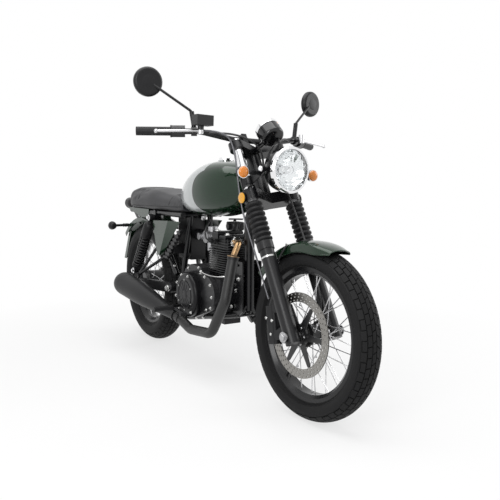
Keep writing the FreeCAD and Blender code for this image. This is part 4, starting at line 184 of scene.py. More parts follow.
def noise_of(material, scale, detail=4.0, roughness=0.5):
    """An even noise over the motorcycle, from 0 to 1."""
    node = fed(material, "TexNoise", place_of(material), Scale=scale, Detail=detail, Roughness=roughness)
    return node.outputs["Fac"]


def mapped(material, source, end, low, high):
    """A value put from or to the range between low and high."""
    node = fed(material, "MapRange", source, "Value", **{end + " Min": low, end + " Max": high})
    return node.outputs["Result"]


def between(material, source, low, high):
    """A value from 0 to 1 turned into one from low to high."""
    return mapped(material, source, "To", low, high)


def mixed(material, factor, first, second):
    """Two colours mixed by a factor; each is a colour or a socket."""
    node = add_node(material, "Mix", data_type="RGBA")
    for socket, value in ((node.inputs[6], first), (node.inputs[7], second)):
        if isinstance(value, bpy.types.NodeSocket):
            link(material, value, socket)
        else:
            socket.default_value = (*value, 1.0)
    link(material, factor, node.inputs[0])
    return node.outputs[2]


def bumped(material, shader, height, strength, distance):
    """Roughens a shader's surface by a height."""
    node = fed(material, "Bump", height, "Height", Strength=strength, Distance=distance)
    link(material, node.outputs["Normal"], shader.inputs["Normal"])


def set_inputs(node, **values):
    """Sets a node's inputs, where _ stands for a space."""
    for name, value in values.items():
        node.inputs[name.replace("_", " ")].default_value = value


def finish_of(name, colour, roughness, metallic=0.0, spread=0.06, mottle=0.25, grain=900.0, depth=0.0002,
              strength=0.15, coat=0.0, edge_tint=None, gloss=0.5):
    """A painted, moulded or cast finish: mottled colour, uneven gloss and a fine grain."""
    material, shader = new_material(name)
    broad = noise_of(material, 14.0)
    fine = noise_of(material, grain, 6.0)
    darker = tuple(c * (1 - mottle) for c in colour)
    tint = mixed(material, broad, darker, colour)
    # Sharp edges, by the surface's pointiness, are mixed toward a lighter colour
    if edge_tint:
        edges = ramp(material, add_node(material, "NewGeometry").outputs["Pointiness"], EDGE_TINT_LOW, EDGE_TINT_HIGH)
        tint = mixed(material, edges, tint, edge_tint)
    link(material, tint, shader.inputs["Base Color"])
    link(material, between(material, broad, roughness - spread, roughness + spread), shader.inputs["Roughness"])
    set_inputs(shader, Metallic=metallic, Specular_IOR_Level=gloss, Coat_Weight=coat, Coat_Roughness=0.04)
    bumped(material, shader, fine, strength, depth)
    return material


def line_distance(material, place, axis):
    """How far a point is from a line, and how far along it."""
    def vector(operation, source, other=None):
        node = fed(material, "VectorMath", source, 0, operation=operation)
        if other is not None:
            node.inputs[1].default_value = other
        return node.outputs

    away = vector("SUBTRACT", place_of(material), place)["Vector"]
    across = vector("CROSS_PRODUCT", away, axis)["Vector"]
    return vector("LENGTH", across)["Value"], vector("DOT_PRODUCT", away, axis)["Value"]


def ramp(material, source, low, high):
    """0 below one value and 1 above another."""
    return mapped(material, source, "From", low, high)


def joined(material, operation, first, second):
    """Two values, each a number or a socket, put together by a sum or a comparison."""
    node = add_node(material, "Math", operation=operation)
    for socket, value in zip(node.inputs, (first, second)):
        if isinstance(value, bpy.types.NodeSocket):
            link(material, value, socket)
        else:
            socket.default_value = value
    return node.outputs["Value"]


# Millimetres along the bar, from its shoulder to its end, and how far out and up the levers lie
BAR_RUN = ((955.4, 225.0, 1020.3), (834.4, 425.0, 1012.3))
LEVER_OUT = 0.034
LEVER_TOP = 1.032
MASK_EDGE = 0.0005

# How sharp an edge starts to turn lighter, and is lightest
EDGE_TINT_LOW = 0.55
EDGE_TINT_HIGH = 0.62

# The panel painted on each side of the tank, the silver behind it and the line round it
PANEL_MIDDLE = (0.2432, 0.796)
PANEL_HALF = (0.178, 0.100)
PANEL_POWER = 2.6
SILVER_END = 0.132
SILVER_LOW = 0.713
SILVER_FROM = (1.02, 1.03)
LINE_FROM = (0.96, 0.98)
LINE_TO = (1.05, 1.07)
GREEN_DARK = (0.0015, 0.010, 0.0035)
GREEN_LIGHT = (0.0055, 0.031, 0.011)
SILVER = (0.42, 0.44, 0.44)
LINE_BLACK = (0.004, 0.005, 0.005)


def reverse(material, value):
    """1 for 0 and 0 for 1."""
    return joined(material, "SUBTRACT", 1.0, value)


def axis_of(material, axis):
    """A place's measure along one axis."""
    return fed(material, "SeparateXYZ", place_of(material)).outputs[axis]


def tank_panel(material):
    """How far out a place is from the middle of the tank's side panel, 1 on its outline."""
    terms = []
    for axis, middle, half in zip("XZ", PANEL_MIDDLE, PANEL_HALF):
        away = joined(material, "ABSOLUTE", joined(material, "SUBTRACT", axis_of(material, axis), middle), 0.0)
        terms.append(joined(material, "POWER", joined(material, "DIVIDE", away, half), PANEL_POWER))
    return joined(material, "ADD", *terms)


def green_paint(name="green_paint", panelled=False):
    """Dark green metallic under a clear coat, with fine flakes; the tank's rear is silver behind an outlined panel."""
    material, shader = new_material(name)
    flakes = fed(material, "TexVoronoi", place_of(material), Scale=2600.0)
    tint = mixed(material, flakes.outputs["Distance"], GREEN_DARK, GREEN_LIGHT)
    if panelled:
        out = tank_panel(material)
        rear = reverse(material, ramp(material, axis_of(material, "X"), SILVER_END - 0.004, SILVER_END))
        high = ramp(material, axis_of(material, "Z"), SILVER_LOW - 0.003, SILVER_LOW)
        rear = joined(material, "MULTIPLY", rear, high)
        silver = joined(material, "MULTIPLY", rear, ramp(material, out, *SILVER_FROM))
        tint = mixed(material, silver, tint, SILVER)
        inside = reverse(material, ramp(material, out, *LINE_TO))
        line = joined(material, "MULTIPLY", ramp(material, out, *LINE_FROM), inside)
        tint = mixed(material, line, tint, LINE_BLACK)
    link(material, tint, shader.inputs["Base Color"])
    set_inputs(
        shader, Metallic=0.30, Roughness=0.24, Specular_IOR_Level=0.2, Coat_Weight=0.7, Coat_Roughness=0.02
    )
    bumped(material, shader, flakes.outputs["Distance"], 0.04, 0.0001)
    return material


def brushed(name, colour, roughness, stretch=(4.0, 4.0, 260.0)):
    """Ground or brushed bare metal."""
    material, shader = new_material(name)
    mapping = fed(material, "Mapping", place_of(material), Scale=stretch)
    streaks = fed(material, "TexNoise", mapping.outputs["Vector"], Scale=6.0, Detail=6.0)
    darker = tuple(c * 0.72 for c in colour)
    link(material, mixed(material, streaks.outputs["Fac"], darker, colour), shader.inputs["Base Color"])
    rough = between(material, streaks.outputs["Fac"], roughness * 0.7, roughness * 1.4)
    link(material, rough, shader.inputs["Roughness"])
    shader.inputs["Metallic"].default_value = 1.0
    bumped(material, shader, streaks.outputs["Fac"], 0.08, 0.0002)
    return material


def two_metals(name, mask_of, first, second, grain=900.0):
    """Two finishes on one piece, each a colour, metallic and roughness, parted by a mask."""
    material, shader = new_material(name)
    mask = mask_of(material)
    broad = noise_of(material, 16.0)
    tints = []
    for colour, _, _ in (first, second):
        tints.append(mixed(material, broad, tuple(c * 0.75 for c in colour), colour))
    link(material, mixed(material, mask, *tints), shader.inputs["Base Color"])
    link(material, between(material, mask, first[1], second[1]), shader.inputs["Metallic"])
    rough = between(material, mask, first[2], second[2])
    uneven = joined(material, "MULTIPLY", rough, between(material, broad, 0.8, 1.25))
    link(material, uneven, shader.inputs["Roughness"])
    bumped(material, shader, noise_of(material, grain, 6.0), 0.08, 0.0002)
    return material


def hub_mask(wheel, radius, carrier=None):
    """1 on the black hub and the disc's carrier, and 0 on the spokes."""
    def mask_of(material):
        away, along = line_distance(material, wheel.to_translation(), wheel.to_3x3() @ Vector((0, 1, 0)))
        mask = reverse(material, ramp(material, away, radius - MASK_EDGE, radius + MASK_EDGE))
        if carrier is not None:
            side = reverse(material, ramp(material, along, carrier - MASK_EDGE, carrier + MASK_EDGE))
            mask = joined(material, "MAXIMUM", mask, side)
        return mask
    return mask_of


def height_mask(low, high):
    """0 below and 1 above a height."""
    return lambda material: ramp(material, axis_of(material, "Z"), low, high)


def lever_mask(material):
    """1 on the levers, which lie ahead of the bar and below the reservoir."""
    nearest = None
    for side in (-1, 1):
        inner, outer = (steered(x, side * y, z) for x, y, z in BAR_RUN)
        away, _ = line_distance(material, inner, (outer - inner).normalized())
        nearest = away if nearest is None else joined(material, "MINIMUM", nearest, away)
    low = reverse(material, ramp(material, axis_of(material, "Z"), LEVER_TOP - MM, LEVER_TOP))
    return joined(material, "MULTIPLY", ramp(material, nearest, LEVER_OUT, LEVER_OUT + MM), low)


def clear_glass():
    """Pressed glass with shallow ribs."""
    material, shader = new_material("lens_glass")
    mapping = fed(material, "Mapping", place_of(material), Scale=(1.0, 1.0, 0.2))
    ribs = fed(
        material, "TexWave", mapping.outputs["Vector"], Scale=34.0, Distortion=0.4, bands_direction="Y"
    )
    set_inputs(shader, Base_Color=(0.97, 0.98, 0.98, 1.0), Transmission_Weight=1.0, IOR=1.45)
    link(material, between(material, noise_of(material, 30.0), 0.01, 0.05), shader.inputs["Roughness"])
    bumped(material, shader, ribs.outputs["Fac"], 0.10, 0.0006)
    return material


# Colour, metallic and roughness
SPOKE = ((0.70, 0.70, 0.71), 1.0, 0.20)
CONTROL_BLACK = ((0.006, 0.006, 0.007), 0.0, 0.34)
LEVER_BRIGHT = ((0.72, 0.72, 0.73), 1.0, 0.2)
HUB_BLACK = ((0.013, 0.013, 0.014), 0.0, 0.34)
PIPE_BLACK = ((0.014, 0.014, 0.014), 0.0, 0.42)
PIPE_BRONZE = ((0.52, 0.33, 0.17), 1.0, 0.30)

MATERIALS = {
    "tyre": finish_of(
        "tyre_rubber", (0.013, 0.013, 0.0135), 0.60, mottle=0.35, grain=1400.0, depth=0.0004, strength=0.3, gloss=0.15
    ),
    "rubber": finish_of(
        "black_rubber", (0.012, 0.012, 0.013), 0.50, mottle=0.3, grain=1100.0, strength=0.2, gloss=0.28
    ),
    "black_metal": finish_of("black_enamel", (0.005, 0.005, 0.006), 0.24, grain=700.0, strength=0.06, gloss=0.40),
    "matt_metal": finish_of("matt_black", (0.008, 0.008, 0.009), 0.42, grain=900.0, strength=0.12, gloss=0.25),
    "exhaust_black": finish_of("exhaust_black", (0.012, 0.012, 0.013), 0.42, grain=1600.0, strength=0.18, gloss=0.30),
    # Engine black, lighter on its sharp edges
    "engine_black": finish_of(
        "engine_black", (0.006, 0.006, 0.007), 0.30, grain=1300.0, depth=0.0003, strength=0.22,
        edge_tint=(0.03, 0.03, 0.032), gloss=0.22
    ),
    "steel": brushed("zinc_steel", (0.55, 0.55, 0.56), 0.28),
    "disc_steel": brushed("disc_steel", (0.34, 0.33, 0.31), 0.34),
    "chrome": finish_of("chrome", (0.86, 0.86, 0.87), 0.07, metallic=1.0, spread=0.03, mottle=0.04, strength=0.02),
    "alloy": finish_of("cast_alloy", (0.50, 0.50, 0.51), 0.38, metallic=0.9, mottle=0.15, strength=0.2),
    "slider_grey": finish_of(
        "slider_grey", (0.017, 0.017, 0.018), 0.32, metallic=0.1, strength=0.05, gloss=0.3
    ),
    "black_plastic": finish_of("black_plastic", (0.008, 0.008, 0.009), 0.36, grain=1500.0, strength=0.14, gloss=0.3),
    "black_gloss": finish_of("black_gloss", (0.004, 0.004, 0.005), 0.12, grain=900.0, strength=0.02),
    "vinyl_seam": finish_of("seam_vinyl", (0.018, 0.018, 0.020), 0.5, grain=600.0, strength=0.2, gloss=0.3),
    "green_paint": green_paint(),
    "tank_paint": green_paint("tank_paint", True),
    "vinyl": finish_of("seat_vinyl", (0.030, 0.030, 0.033), 0.46, grain=420.0, depth=0.0006, strength=0.3, gloss=0.4),
    "amber": finish_of(
        "amber_lens", (0.90, 0.27, 0.012), 0.14, coat=0.5, mottle=0.45, grain=260.0, depth=0.0012, strength=0.5
    ),
    "reflector": finish_of(
        "reflector_amber", (0.90, 0.42, 0.012), 0.16, coat=0.5, mottle=0.35, grain=380.0, depth=0.001, strength=0.5
    ),
    "red_lens": finish_of("red_lens", (0.42, 0.012, 0.010), 0.12, coat=0.6, mottle=0.15, strength=0.02),
    "glass": clear_glass(),
    "mirror_bright": finish_of("mirror_bright", (0.90, 0.91, 0.92), 0.05, metallic=1.0, spread=0.02, mottle=0.03,
                               strength=0.01),
    "dial_black": finish_of("dial_black", (0.010, 0.010, 0.011), 0.30, coat=0.5, strength=0.03),
    "dial_white": finish_of("dial_white", (0.72, 0.72, 0.70), 0.45, mottle=0.06, strength=0.02),
    "chain_steel": brushed("chain_steel", (0.30, 0.29, 0.27), 0.34),
    "bolt_steel": finish_of("bright_zinc", (0.70, 0.70, 0.69), 0.22, metallic=1.0, mottle=0.12, strength=0.06),
    "cord_rubber": finish_of("cord_rubber", (0.016, 0.016, 0.017), 0.48, mottle=0.3, grain=1500.0, strength=0.15),
    "braid": brushed("steel_braid", (0.16, 0.16, 0.17), 0.42, (260.0, 260.0, 260.0)),
    "front_hub": two_metals("front_hub_finish", hub_mask(FRONT_WHEEL, 0.047, -0.052), SPOKE, HUB_BLACK),
    "rear_hub": two_metals("rear_hub_finish", hub_mask(REAR_WHEEL, 0.0655), SPOKE, HUB_BLACK),
    "levers": two_metals("lever_finish", lever_mask, CONTROL_BLACK, LEVER_BRIGHT),
    "header": two_metals("header_finish", height_mask(0.535, 0.565), PIPE_BLACK, PIPE_BRONZE, 1600.0),
}

SLOT_OF = {row["node"]: row["material_slot"] for row in frame["record"]["subparts"]}


def dress(node, material):
    """Gives a CAD node's slots a better material."""
    for slot in frame["nodes"][node].material_slots:
        slot.material = material


for node_name in frame["nodes"]:
    dress(node_name, MATERIALS[SLOT_OF[node_name]])
for node_name, material_name in (
    ("front_hub", "front_hub"), ("rear_hub", "rear_hub"), ("exhaust_pipe", "header"), ("headlamp", "black_metal"),
    ("swingarm", "matt_metal"), ("brake_caliper", "matt_metal"), ("hand_controls", "levers"),
    ("fuel_tank", "tank_paint"), ("speedometer", "black_gloss"),
):
    dress(node_name, MATERIALS[material_name])


# Stage, lights and camera

FLOOR_HALF = 30.0


def seen_rays(owner):
    """1 on each ray that ends in the picture: straight, mirrored or through glass."""
    path = add_node(owner, "LightPath")
    rays = path.outputs["Is Camera Ray"]
    for other in ("Is Glossy Ray", "Is Transmission Ray"):
        rays = joined(owner, "MAXIMUM", rays, path.outputs[other])
    return rays


def mixed_surface(owner, factor, first, second, output):
    """Two shaders mixed by a factor, as a material's or the world's surface."""
    mix = add_node(owner, "MixShader")
    for source, target in zip((factor, first.outputs[0], second.outputs[0]), mix.inputs):
        link(owner, source, target)
    link(owner, mix.outputs["Shader"], add_node(owner, output).inputs["Surface"])


def floor():
    """A white floor that shows the soft shadow and fades out round it."""
    size = FLOOR_HALF
    mesh = bpy.data.meshes.new("floor")
    mesh.from_pydata([(-size, -size, 0), (size, -size, 0), (size, size, 0), (-size, size, 0)], [], [(0, 1, 2, 3)])
    plane = linked("floor", mesh)
    material = bpy.data.materials.new("studio_floor")
    material.use_nodes = True
    material.node_tree.nodes.clear()
    diffuse = add_node(material, "BsdfDiffuse", Color=(0.86, 0.86, 0.86, 1))
    glow = add_node(material, "Emission", Color=(1, 1, 1, 1), Strength=1.0)
    away = fed(material, "VectorMath", place_of(material), 0, operation="LENGTH").outputs["Value"]
    fade = fed(material, "MapRange", away, "Value", **{"From Min": 0.9, "From Max": 2.0, "To Min": 0.68})
    seen = joined(material, "MULTIPLY", seen_rays(material), fade.outputs["Result"])
    mixed_surface(material, seen, diffuse, glow, "OutputMaterial")
    mesh.materials.append(material)


def world():
    """Even light all round, seen as white by the camera."""
    studio = bpy.context.scene.world = bpy.data.worlds.new("studio")
    studio.use_nodes = True
    studio.node_tree.nodes.clear()
    around, white = (add_node(studio, "Background", Color=(1, 1, 1, 1), Strength=level) for level in (0.45, 1.0))
    mixed_surface(studio, seen_rays(studio), around, white, "OutputWorld")


def softbox(name, place, target, size, power):
    """A soft rectangular lamp that points at a target; its power is in watts."""
    light = bpy.data.lights.new(name, "AREA")
    light.shape = "RECTANGLE"
    light.size, light.size_y = size
    light.energy = power
    lamp = linked(name, light)
    lamp.location = place
    lamp.rotation_euler = (Vector(target) - Vector(place)).to_track_quat("-Z", "Y").to_euler()


def camera():
    """The photograph's camera."""
    data = bpy.data.cameras.new("camera")
    data.lens = CAMERA_LENS
    data.sensor_width = 36.0
    eye = linked("camera", data)
    yaw = math.radians(CAMERA_YAW)
    pitch = math.radians(CAMERA_PITCH)
    look = Vector((math.cos(yaw) * math.cos(pitch), math.sin(yaw) * math.cos(pitch), math.sin(pitch)))
    turn = look.to_track_quat("-Z", "Y").to_matrix().to_4x4()
    roll = Matrix.Rotation(math.radians(CAMERA_ROLL), 4, "Z")
    eye.matrix_world = Matrix.Translation(CAMERA_PLACE) @ turn @ roll
    bpy.context.scene.camera = eye


# Building meshes

def way(start, end):
    """The direction from one place to another."""
    return (end - start).normalized()


def facing(place, direction, side=(0, 0, 1)):
    """A frame in millimetres at a place, with Z along a direction and X near a side."""
    z = Vector(direction).normalized()
    x = Vector(side) - z * z.dot(Vector(side))
    if x.length < 1e-4:
        x = z.orthogonal()
    x.normalize()
    turn = Matrix((x, z.cross(x), z)).transposed().to_4x4()
    return Matrix.Translation(place) @ turn @ Matrix.Scale(MM, 4)


class Shape:
    """Points and faces that grow into one mesh."""

    def __init__(self):
        self.points = []
        self.faces = []

    def add(self, points, faces):
        """Takes in points and the faces between them."""
        start = len(self.points)
        self.points += [tuple(point) for point in points]
        self.faces += [tuple(start + i for i in face) for face in faces]
        return self

    def lathe(self, frame, profile, steps=32):
        """Pairs of height along the frame's Z and radius, from below to above outside."""
        points, rows = [], []
        for height, radius in profile:
            if radius == 0:
                rows.append([len(points)])
                points.append(frame @ Vector((0, 0, height)))
                continue
            rows.append(list(range(len(points), len(points) + steps)))
            for j in range(steps):
                angle = math.tau * j / steps
                points.append(frame @ Vector((*polar(radius, angle), height)))
        return self.add(points, strips(rows, steps))

    def ring(self, frame, profile, steps=32):
        """A closed profile of height and radius, turned all the way round."""
        return self.lathe(frame, list(profile) + [profile[0]], steps)

    def sweep(self, points, radius, sides=8, closed=False):
        """A round bar through world points; the radius is in millimetres, or one for each point."""
        radii = radius if isinstance(radius, (list, tuple)) else [radius] * len(points)
        count = len(points)
        normal = None
        rings, rows = [], []
        for i, point in enumerate(points):
            before = points[i - 1] if i or closed else point
            after = points[(i + 1) % count] if i + 1 < count or closed else point
            tangent = way(before, after)
            if normal is None:
                normal = tangent.orthogonal().normalized()
            normal = (normal - tangent * normal.dot(tangent)).normalized()
            other = tangent.cross(normal)
            rows.append(list(range(len(rings), len(rings) + sides)))
            for j in range(sides):
                angle = math.tau * j / sides
                rings.append(point + (normal * math.cos(angle) + other * math.sin(angle)) * radii[i] * MM)
        faces = strips(rows, sides)
        if closed:
            faces += strips([rows[-1], rows[0]], sides)
        else:
            faces += [tuple(reversed(rows[0])), tuple(rows[-1])]
        self.add(rings, faces)

    def prism(self, frame, outline, low, high, inset=0.0):
        """An outline in the frame's XY plane between two heights, with its edges eased by an inset."""
        count = len(outline)
        centre = Vector((sum(p[0] for p in outline) / count, sum(p[1] for p in outline) / count))
        levels = [(low, 0.0), (high, 0.0)]
        if inset:
            levels = [(low, inset), (low + inset, 0.0), (high - inset, 0.0), (high, inset)]
        points, rows = [], []
        for height, ease in levels:
            rows.append(list(range(len(points), len(points) + count)))
            for p in outline:
                q = Vector(p)
                reach = (q - centre).length
                q = centre + (q - centre) * ((reach - ease) / reach)
                points.append(frame @ Vector((q.x, q.y, height)))
        faces = strips(rows, count)
        faces += [tuple(reversed(rows[0])), tuple(rows[-1])]
        self.add(points, faces)

    def hull(self, points):
        """The convex form round a set of world points."""
        mesh = bmesh.new()
        for point in points:
            mesh.verts.new(point)
        bmesh.ops.convex_hull(mesh, input=mesh.verts)
        loose = [v for v in mesh.verts if not v.link_faces]
        bmesh.ops.delete(mesh, geom=loose, context="VERTS")
        mesh.verts.index_update()
        self.add([v.co.copy() for v in mesh.verts], [[v.index for v in f.verts] for f in mesh.faces])
        mesh.free()

    def box(self, frame, size, ease=1.0):
        """A box about the frame's origin with eased edges."""
        a, b, c = (half / 2 for half in size)
        points = []
        for sx, sy, sz in itertools.product((-1, 1), repeat=3):
            for ex, ey, ez in ((0, 1, 1), (1, 0, 1), (1, 1, 0)):
                points.append(frame @ Vector((sx * (a - ease * ex), sy * (b - ease * ey), sz * (c - ease * ez))))
        self.hull(points)

    def bolt(self, place, direction, radius, height=None):
        """A hexagon head on its washer."""
        frame = facing(place, direction)
        height = height or radius * 0.9
        base = radius * 0.25
        rim = radius * 1.45
        self.lathe(frame, [(-0.5, 0), (-0.5, rim), (base, rim), (base, 0)], 18)
        top = base + height
        profile = [(base - 0.3, 0), (base - 0.3, radius), (top - radius * 0.15, radius), (top, radius * 0.82), (top, 0)]
        self.lathe(frame, profile, 6)

    def cap_screw(self, place, direction, radius, height=None):
        """A round head with its socket."""
        frame = facing(place, direction)
        top = height or radius
        profile = [
            (-0.5, 0), (-0.5, radius), (top * 0.85, radius), (top, radius * 0.88), (top, radius * 0.55),
            (top * 0.35, radius * 0.5), (top * 0.35, 0),
        ]
        self.lathe(frame, profile, 14)


def strips(rows, steps):
    """The faces between successive rings, where a ring may be a single point."""
    faces = []
    for low, high in zip(rows, rows[1:]):
        if len(low) == 1 and len(high) == 1:
            continue
        for j in range(steps):
            k = (j + 1) % steps
            if len(low) == 1:
                faces.append((low[0], high[k], high[j]))
            elif len(high) == 1:
                faces.append((low[j], low[k], high[0]))
            else:
                faces.append((low[j], low[k], high[k], high[j]))
    return faces


def linked(name, data):
    """A new object in the scene."""
    thing = bpy.data.objects.new(name, data)
    bpy.context.collection.objects.link(thing)
    return thing


def placed(name, data, body, slot, replaces):
    """A new object on its body, in place of the nodes that it replaces."""
    thing = linked(name, data)
    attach(thing, body)
    if replaces:
        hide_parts(*replaces)
    return thing


def piece(name, shape, material, body, slot=None, replaces=(), sharp=38.0, outward=True):
    """Makes a shape one of the model's pieces, on its body; its slot is not used."""
    mesh = bpy.data.meshes.new(name)
    mesh.from_pydata(shape.points, [], shape.faces)
    if outward:
        tidy = bmesh.new()
        tidy.from_mesh(mesh)
        bmesh.ops.recalc_face_normals(tidy, faces=tidy.faces)
        tidy.to_mesh(mesh)
        tidy.free()
    mesh.polygons.foreach_set("use_smooth", [sharp > 0] * len(mesh.polygons))
    if sharp > 0:
        mesh.set_sharp_from_angle(angle=math.radians(sharp))
    mesh.materials.append(MATERIALS[material])
    return placed(name, mesh, body, slot or material, replaces)


# Cords

# A curve's length as a share of the way round its control points
CURVE_SHARE = 0.965


def cord(name, points, radius, body, material, replaces=(), slot="rubber"):
    """A smooth line through control points."""
    curve = bpy.data.curves.new(name, "CURVE")
    curve.dimensions = "3D"
    curve.bevel_depth = radius * MM
    curve.bevel_resolution = 3
    curve.resolution_u = 10
    curve.use_fill_caps = True
    spline = curve.splines.new("NURBS")
    spline.points.add(len(points) - 1)
    for control, point in zip(spline.points, points):
        control.co = (*point, 1.0)
    spline.order_u = 3
    spline.use_endpoint_u = True
    curve.materials.append(MATERIALS[material])
    thing = placed(name, curve, body, slot, replaces)
    length = sum((b - a).length for a, b in zip(points, points[1:])) * CURVE_SHARE
    tuple(points[0])


HOSE_ROUTE = (
    (998.4, -233.3, 1019.9), (1033.5, -175.1, 1022.3), (1055.2, -131.0, 972.3), (1104.4, -131.0, 747.3),
    (1175.3, -114.0, 594.4), (1255.2, -97.0, 416.4),
)
METER_ROUTE = (
    (1124.1, 22.5, 1002.6), (1137.2, 22.5, 991.7), (1075.9, 32.4, 908.1), (1163.6, 64.7, 780.8), (1354.6, 64.7, 443.1),
    (1358.5, 64.7, 367.2), (1385.2, 64.7, 320.0),
)


def cords():
    """The brake hose and the speedometer's cable."""
    cord("brake_hose", [steered(*p) for p in HOSE_ROUTE], 3.5, "steering", "braid", ("control_cables",), "steel")
    cord("meter_cable", [steered(*p) for p in METER_ROUTE], 3.5, "steering", "cord_rubber", ("control_cables",))


# Wheels

# Width, outer radius, bead's radius and rim's width
FRONT_TYRE = (100, 308, 228.6, 54)
REAR_TYRE = (118, 314, 215.9, 64)
BLOCKS_ROUND = 54
GROOVE_DEPTH = 5.5


def tyre_section(width, radius, bead):
    """How far out and how far across the crown is, for an angle from its middle."""
    middle = bead + (radius - bead) * 0.45

    def crown(angle, depth=0.0):
        half = width / 2 - depth * 0.9
        reach = radius - middle - depth
        return half * math.sin(angle), middle + reach * math.cos(angle) ** 0.92

    return crown, middle


def carcass(shape, frame, width, radius, bead, rim_width):
    """The tyre's body, with its crown at the bottom of the grooves."""
    crown, middle = tyre_section(width, radius, bead)
    half = width / 2
    side = [
        (rim_width / 2 - 1, bead + 1), (rim_width / 2 + 4, bead + 8), (rim_width / 2 + 5.5, bead + 10.5),
        (rim_width / 2 + 5.0, bead + 12.5), (half * 0.90, middle - (middle - bead) * 0.46),
        (half * 0.985, middle - (middle - bead) * 0.12), (half, middle),
    ]
    across = []
    for step in range(-13, 14):
        angle = math.radians(step * 5.0)
        depth = GROOVE_DEPTH if abs(step) < 13 else GROOVE_DEPTH * 0.4
        across.append(crown(angle, depth))
    left = [(y, r) for y, r in side] + [crown(math.radians(80)), crown(math.radians(71))]
    profile = [(-y, r) for y, r in left] + across + list(reversed(left))
    shape.ring(frame, profile, 120)


TREAD_ROWS = (
    (1.6, 17.0, 9.0, 0.0), (19.5, 38.0, 3.5, 0.5), (40.5, 66.0, 0.0, 0.0),
)


def tread(shape, frame, width, radius, bead):
    """Blocks in six rows, staggered, with slanting ends near the middle."""
    crown, _ = tyre_section(width, radius, bead)
    pitch = math.tau / BLOCKS_ROUND
    gap = 3.2 / radius
    order = ((0, 0), (1, 0), (2, 0), (2, 1), (2, 2), (1, 2), (0, 2), (0, 1))

    def place(side, turn, lean, depth, t, u, low, high):
        angle = low + (high - low) * t
        y, r = crown(math.radians(angle), depth)
        spin = turn + u + lean * t / radius
        return frame @ Vector((*polar(r, spin), side * y))

    for side in (-1, 1):
        for low, high, lean, stagger in TREAD_ROWS:
            for i in range(BLOCKS_ROUND):
                turn = (i + stagger + (0.5 if side > 0 else 0.0)) * pitch
                outer = high
                if low > 40 and i % 2:
                    outer = high - 5.0
                rings = []
                for depth, ease in ((GROOVE_DEPTH + 0.8, 0.0), (0.9, 0.0), (0.0, 1.0)):
                    row = []
                    for a, b in order:
                        t = a / 2 + (0.045 * (1 - a) if ease else 0.0)
                        u = (pitch - gap) * b / 2 + ease * (1 - b) * 1.1 / radius
                        row.append(place(side, turn, lean, depth, t, u, low, outer))
                    rings.append(row)
                centre = place(side, turn, lean, 0.0, 0.5, (pitch - gap) / 2, low, outer)
                points = rings[0] + rings[1] + rings[2] + [centre]
                faces = strips([list(range(8)), list(range(8, 16)), list(range(16, 24))], 8)
                for k in (0, 2, 4, 6):
                    faces.append((16 + k, 16 + k + 1, 24, 16 + (k - 1) % 8))
                shape.add(points, faces)


def axle_frame(wheel):
    """A wheel's frame in millimetres with Z along its axle."""
    return wheel @ Matrix.Rotation(-math.pi / 2, 4, "X") @ Matrix.Scale(MM, 4)


def tyre(name, wheel, width, radius, bead, rim_width, body):
    """A treaded tyre in place of its solid."""
    shape = Shape()
    frame = axle_frame(wheel)
    carcass(shape, frame, width, radius, bead, rim_width)
    tread(shape, frame, width, radius, bead)
    piece(name + "_treaded", shape, "tyre", body, "tyre", (name,), sharp=30, outward=False)


def drilled_disc():
    """The brake disc: a ground ring with slanting rows of holes."""
    shape = Shape()
    frame = axle_frame(FRONT_WHEEL)
    middle, thick = -60.0, 4.4
    columns, edges = 42, (117.0, 128.0, 139.0, 150.0)
    hole = 3.5
    steps = 16

    def cell(rows, low, high, start, end):
        """One piece of the ring with its hole; rows says which edge of the disc it lies on."""
        radius = (low + high) / 2
        centre = (start + end) / 2
        corners = ((low, start), (high, start), (high, end), (low, end))
        outer = []
        for (r, a), (next_r, next_a) in zip(corners, corners[1:] + corners[:1]):
            outer += [polar(r + (next_r - r) * k / 4, a + (next_a - a) * k / 4) for k in range(4)]
        inner = []
        cx, cy = polar(radius, centre)
        for x, y in outer:
            angle = math.atan2(y - cy, x - cx)
            inner.append((cx + hole * math.cos(angle), cy + hole * math.sin(angle)))
        points = []
        for height in (middle - thick / 2, middle + thick / 2):
            for loop in (outer, inner):
                points += [frame @ Vector((x, y, height)) for x, y in loop]
        faces = []
        for j in range(steps):
            k = (j + 1) % steps
            faces.append((j, k, steps + k, steps + j))
            faces.append((steps + j, steps + k, 3 * steps + k, 3 * steps + j))
            faces.append((2 * steps + k, 2 * steps + j, 3 * steps + j, 3 * steps + k))
        if rows == "outer":
            faces += [(j, 2 * steps + j, 2 * steps + j + 1, j + 1) for j in range(4, 8)]
        if rows == "inner":
            faces += [(j, 2 * steps + j, 2 * steps + (j + 1) % steps, (j + 1) % steps) for j in range(12, 16)]
        shape.add(points, faces)

    pitch = math.tau / columns
    for i in range(columns):
        for row, (low, high) in enumerate(zip(edges, edges[1:])):
            start = (i + row * 0.3) * pitch
            cell({0: "inner", 2: "outer"}.get(row), low, high, start, start + pitch)
    thing = piece("drilled_disc", shape, "disc_steel", "front_wheel", "disc_steel", ("brake_disc",), sharp=30,
                  outward=False)
    weld(thing)


def weld(thing, reach=0.00002):
    """Joins points that lie on each other."""
    mesh = bmesh.new()
    mesh.from_mesh(thing.data)
    bmesh.ops.remove_doubles(mesh, verts=mesh.verts, dist=reach)
    bmesh.ops.recalc_face_normals(mesh, faces=mesh.faces)
    mesh.to_mesh(thing.data)
    mesh.free()


# Radius, stagger, height on the axle and head of each ring of bolts
FRONT_BOLT_RINGS = ((108, 0.5, -62.5, 3.0), (33, 0.0, -66, 4.0))
WHEEL_BOLTS = 6
VALVE_ANGLE = 2.2


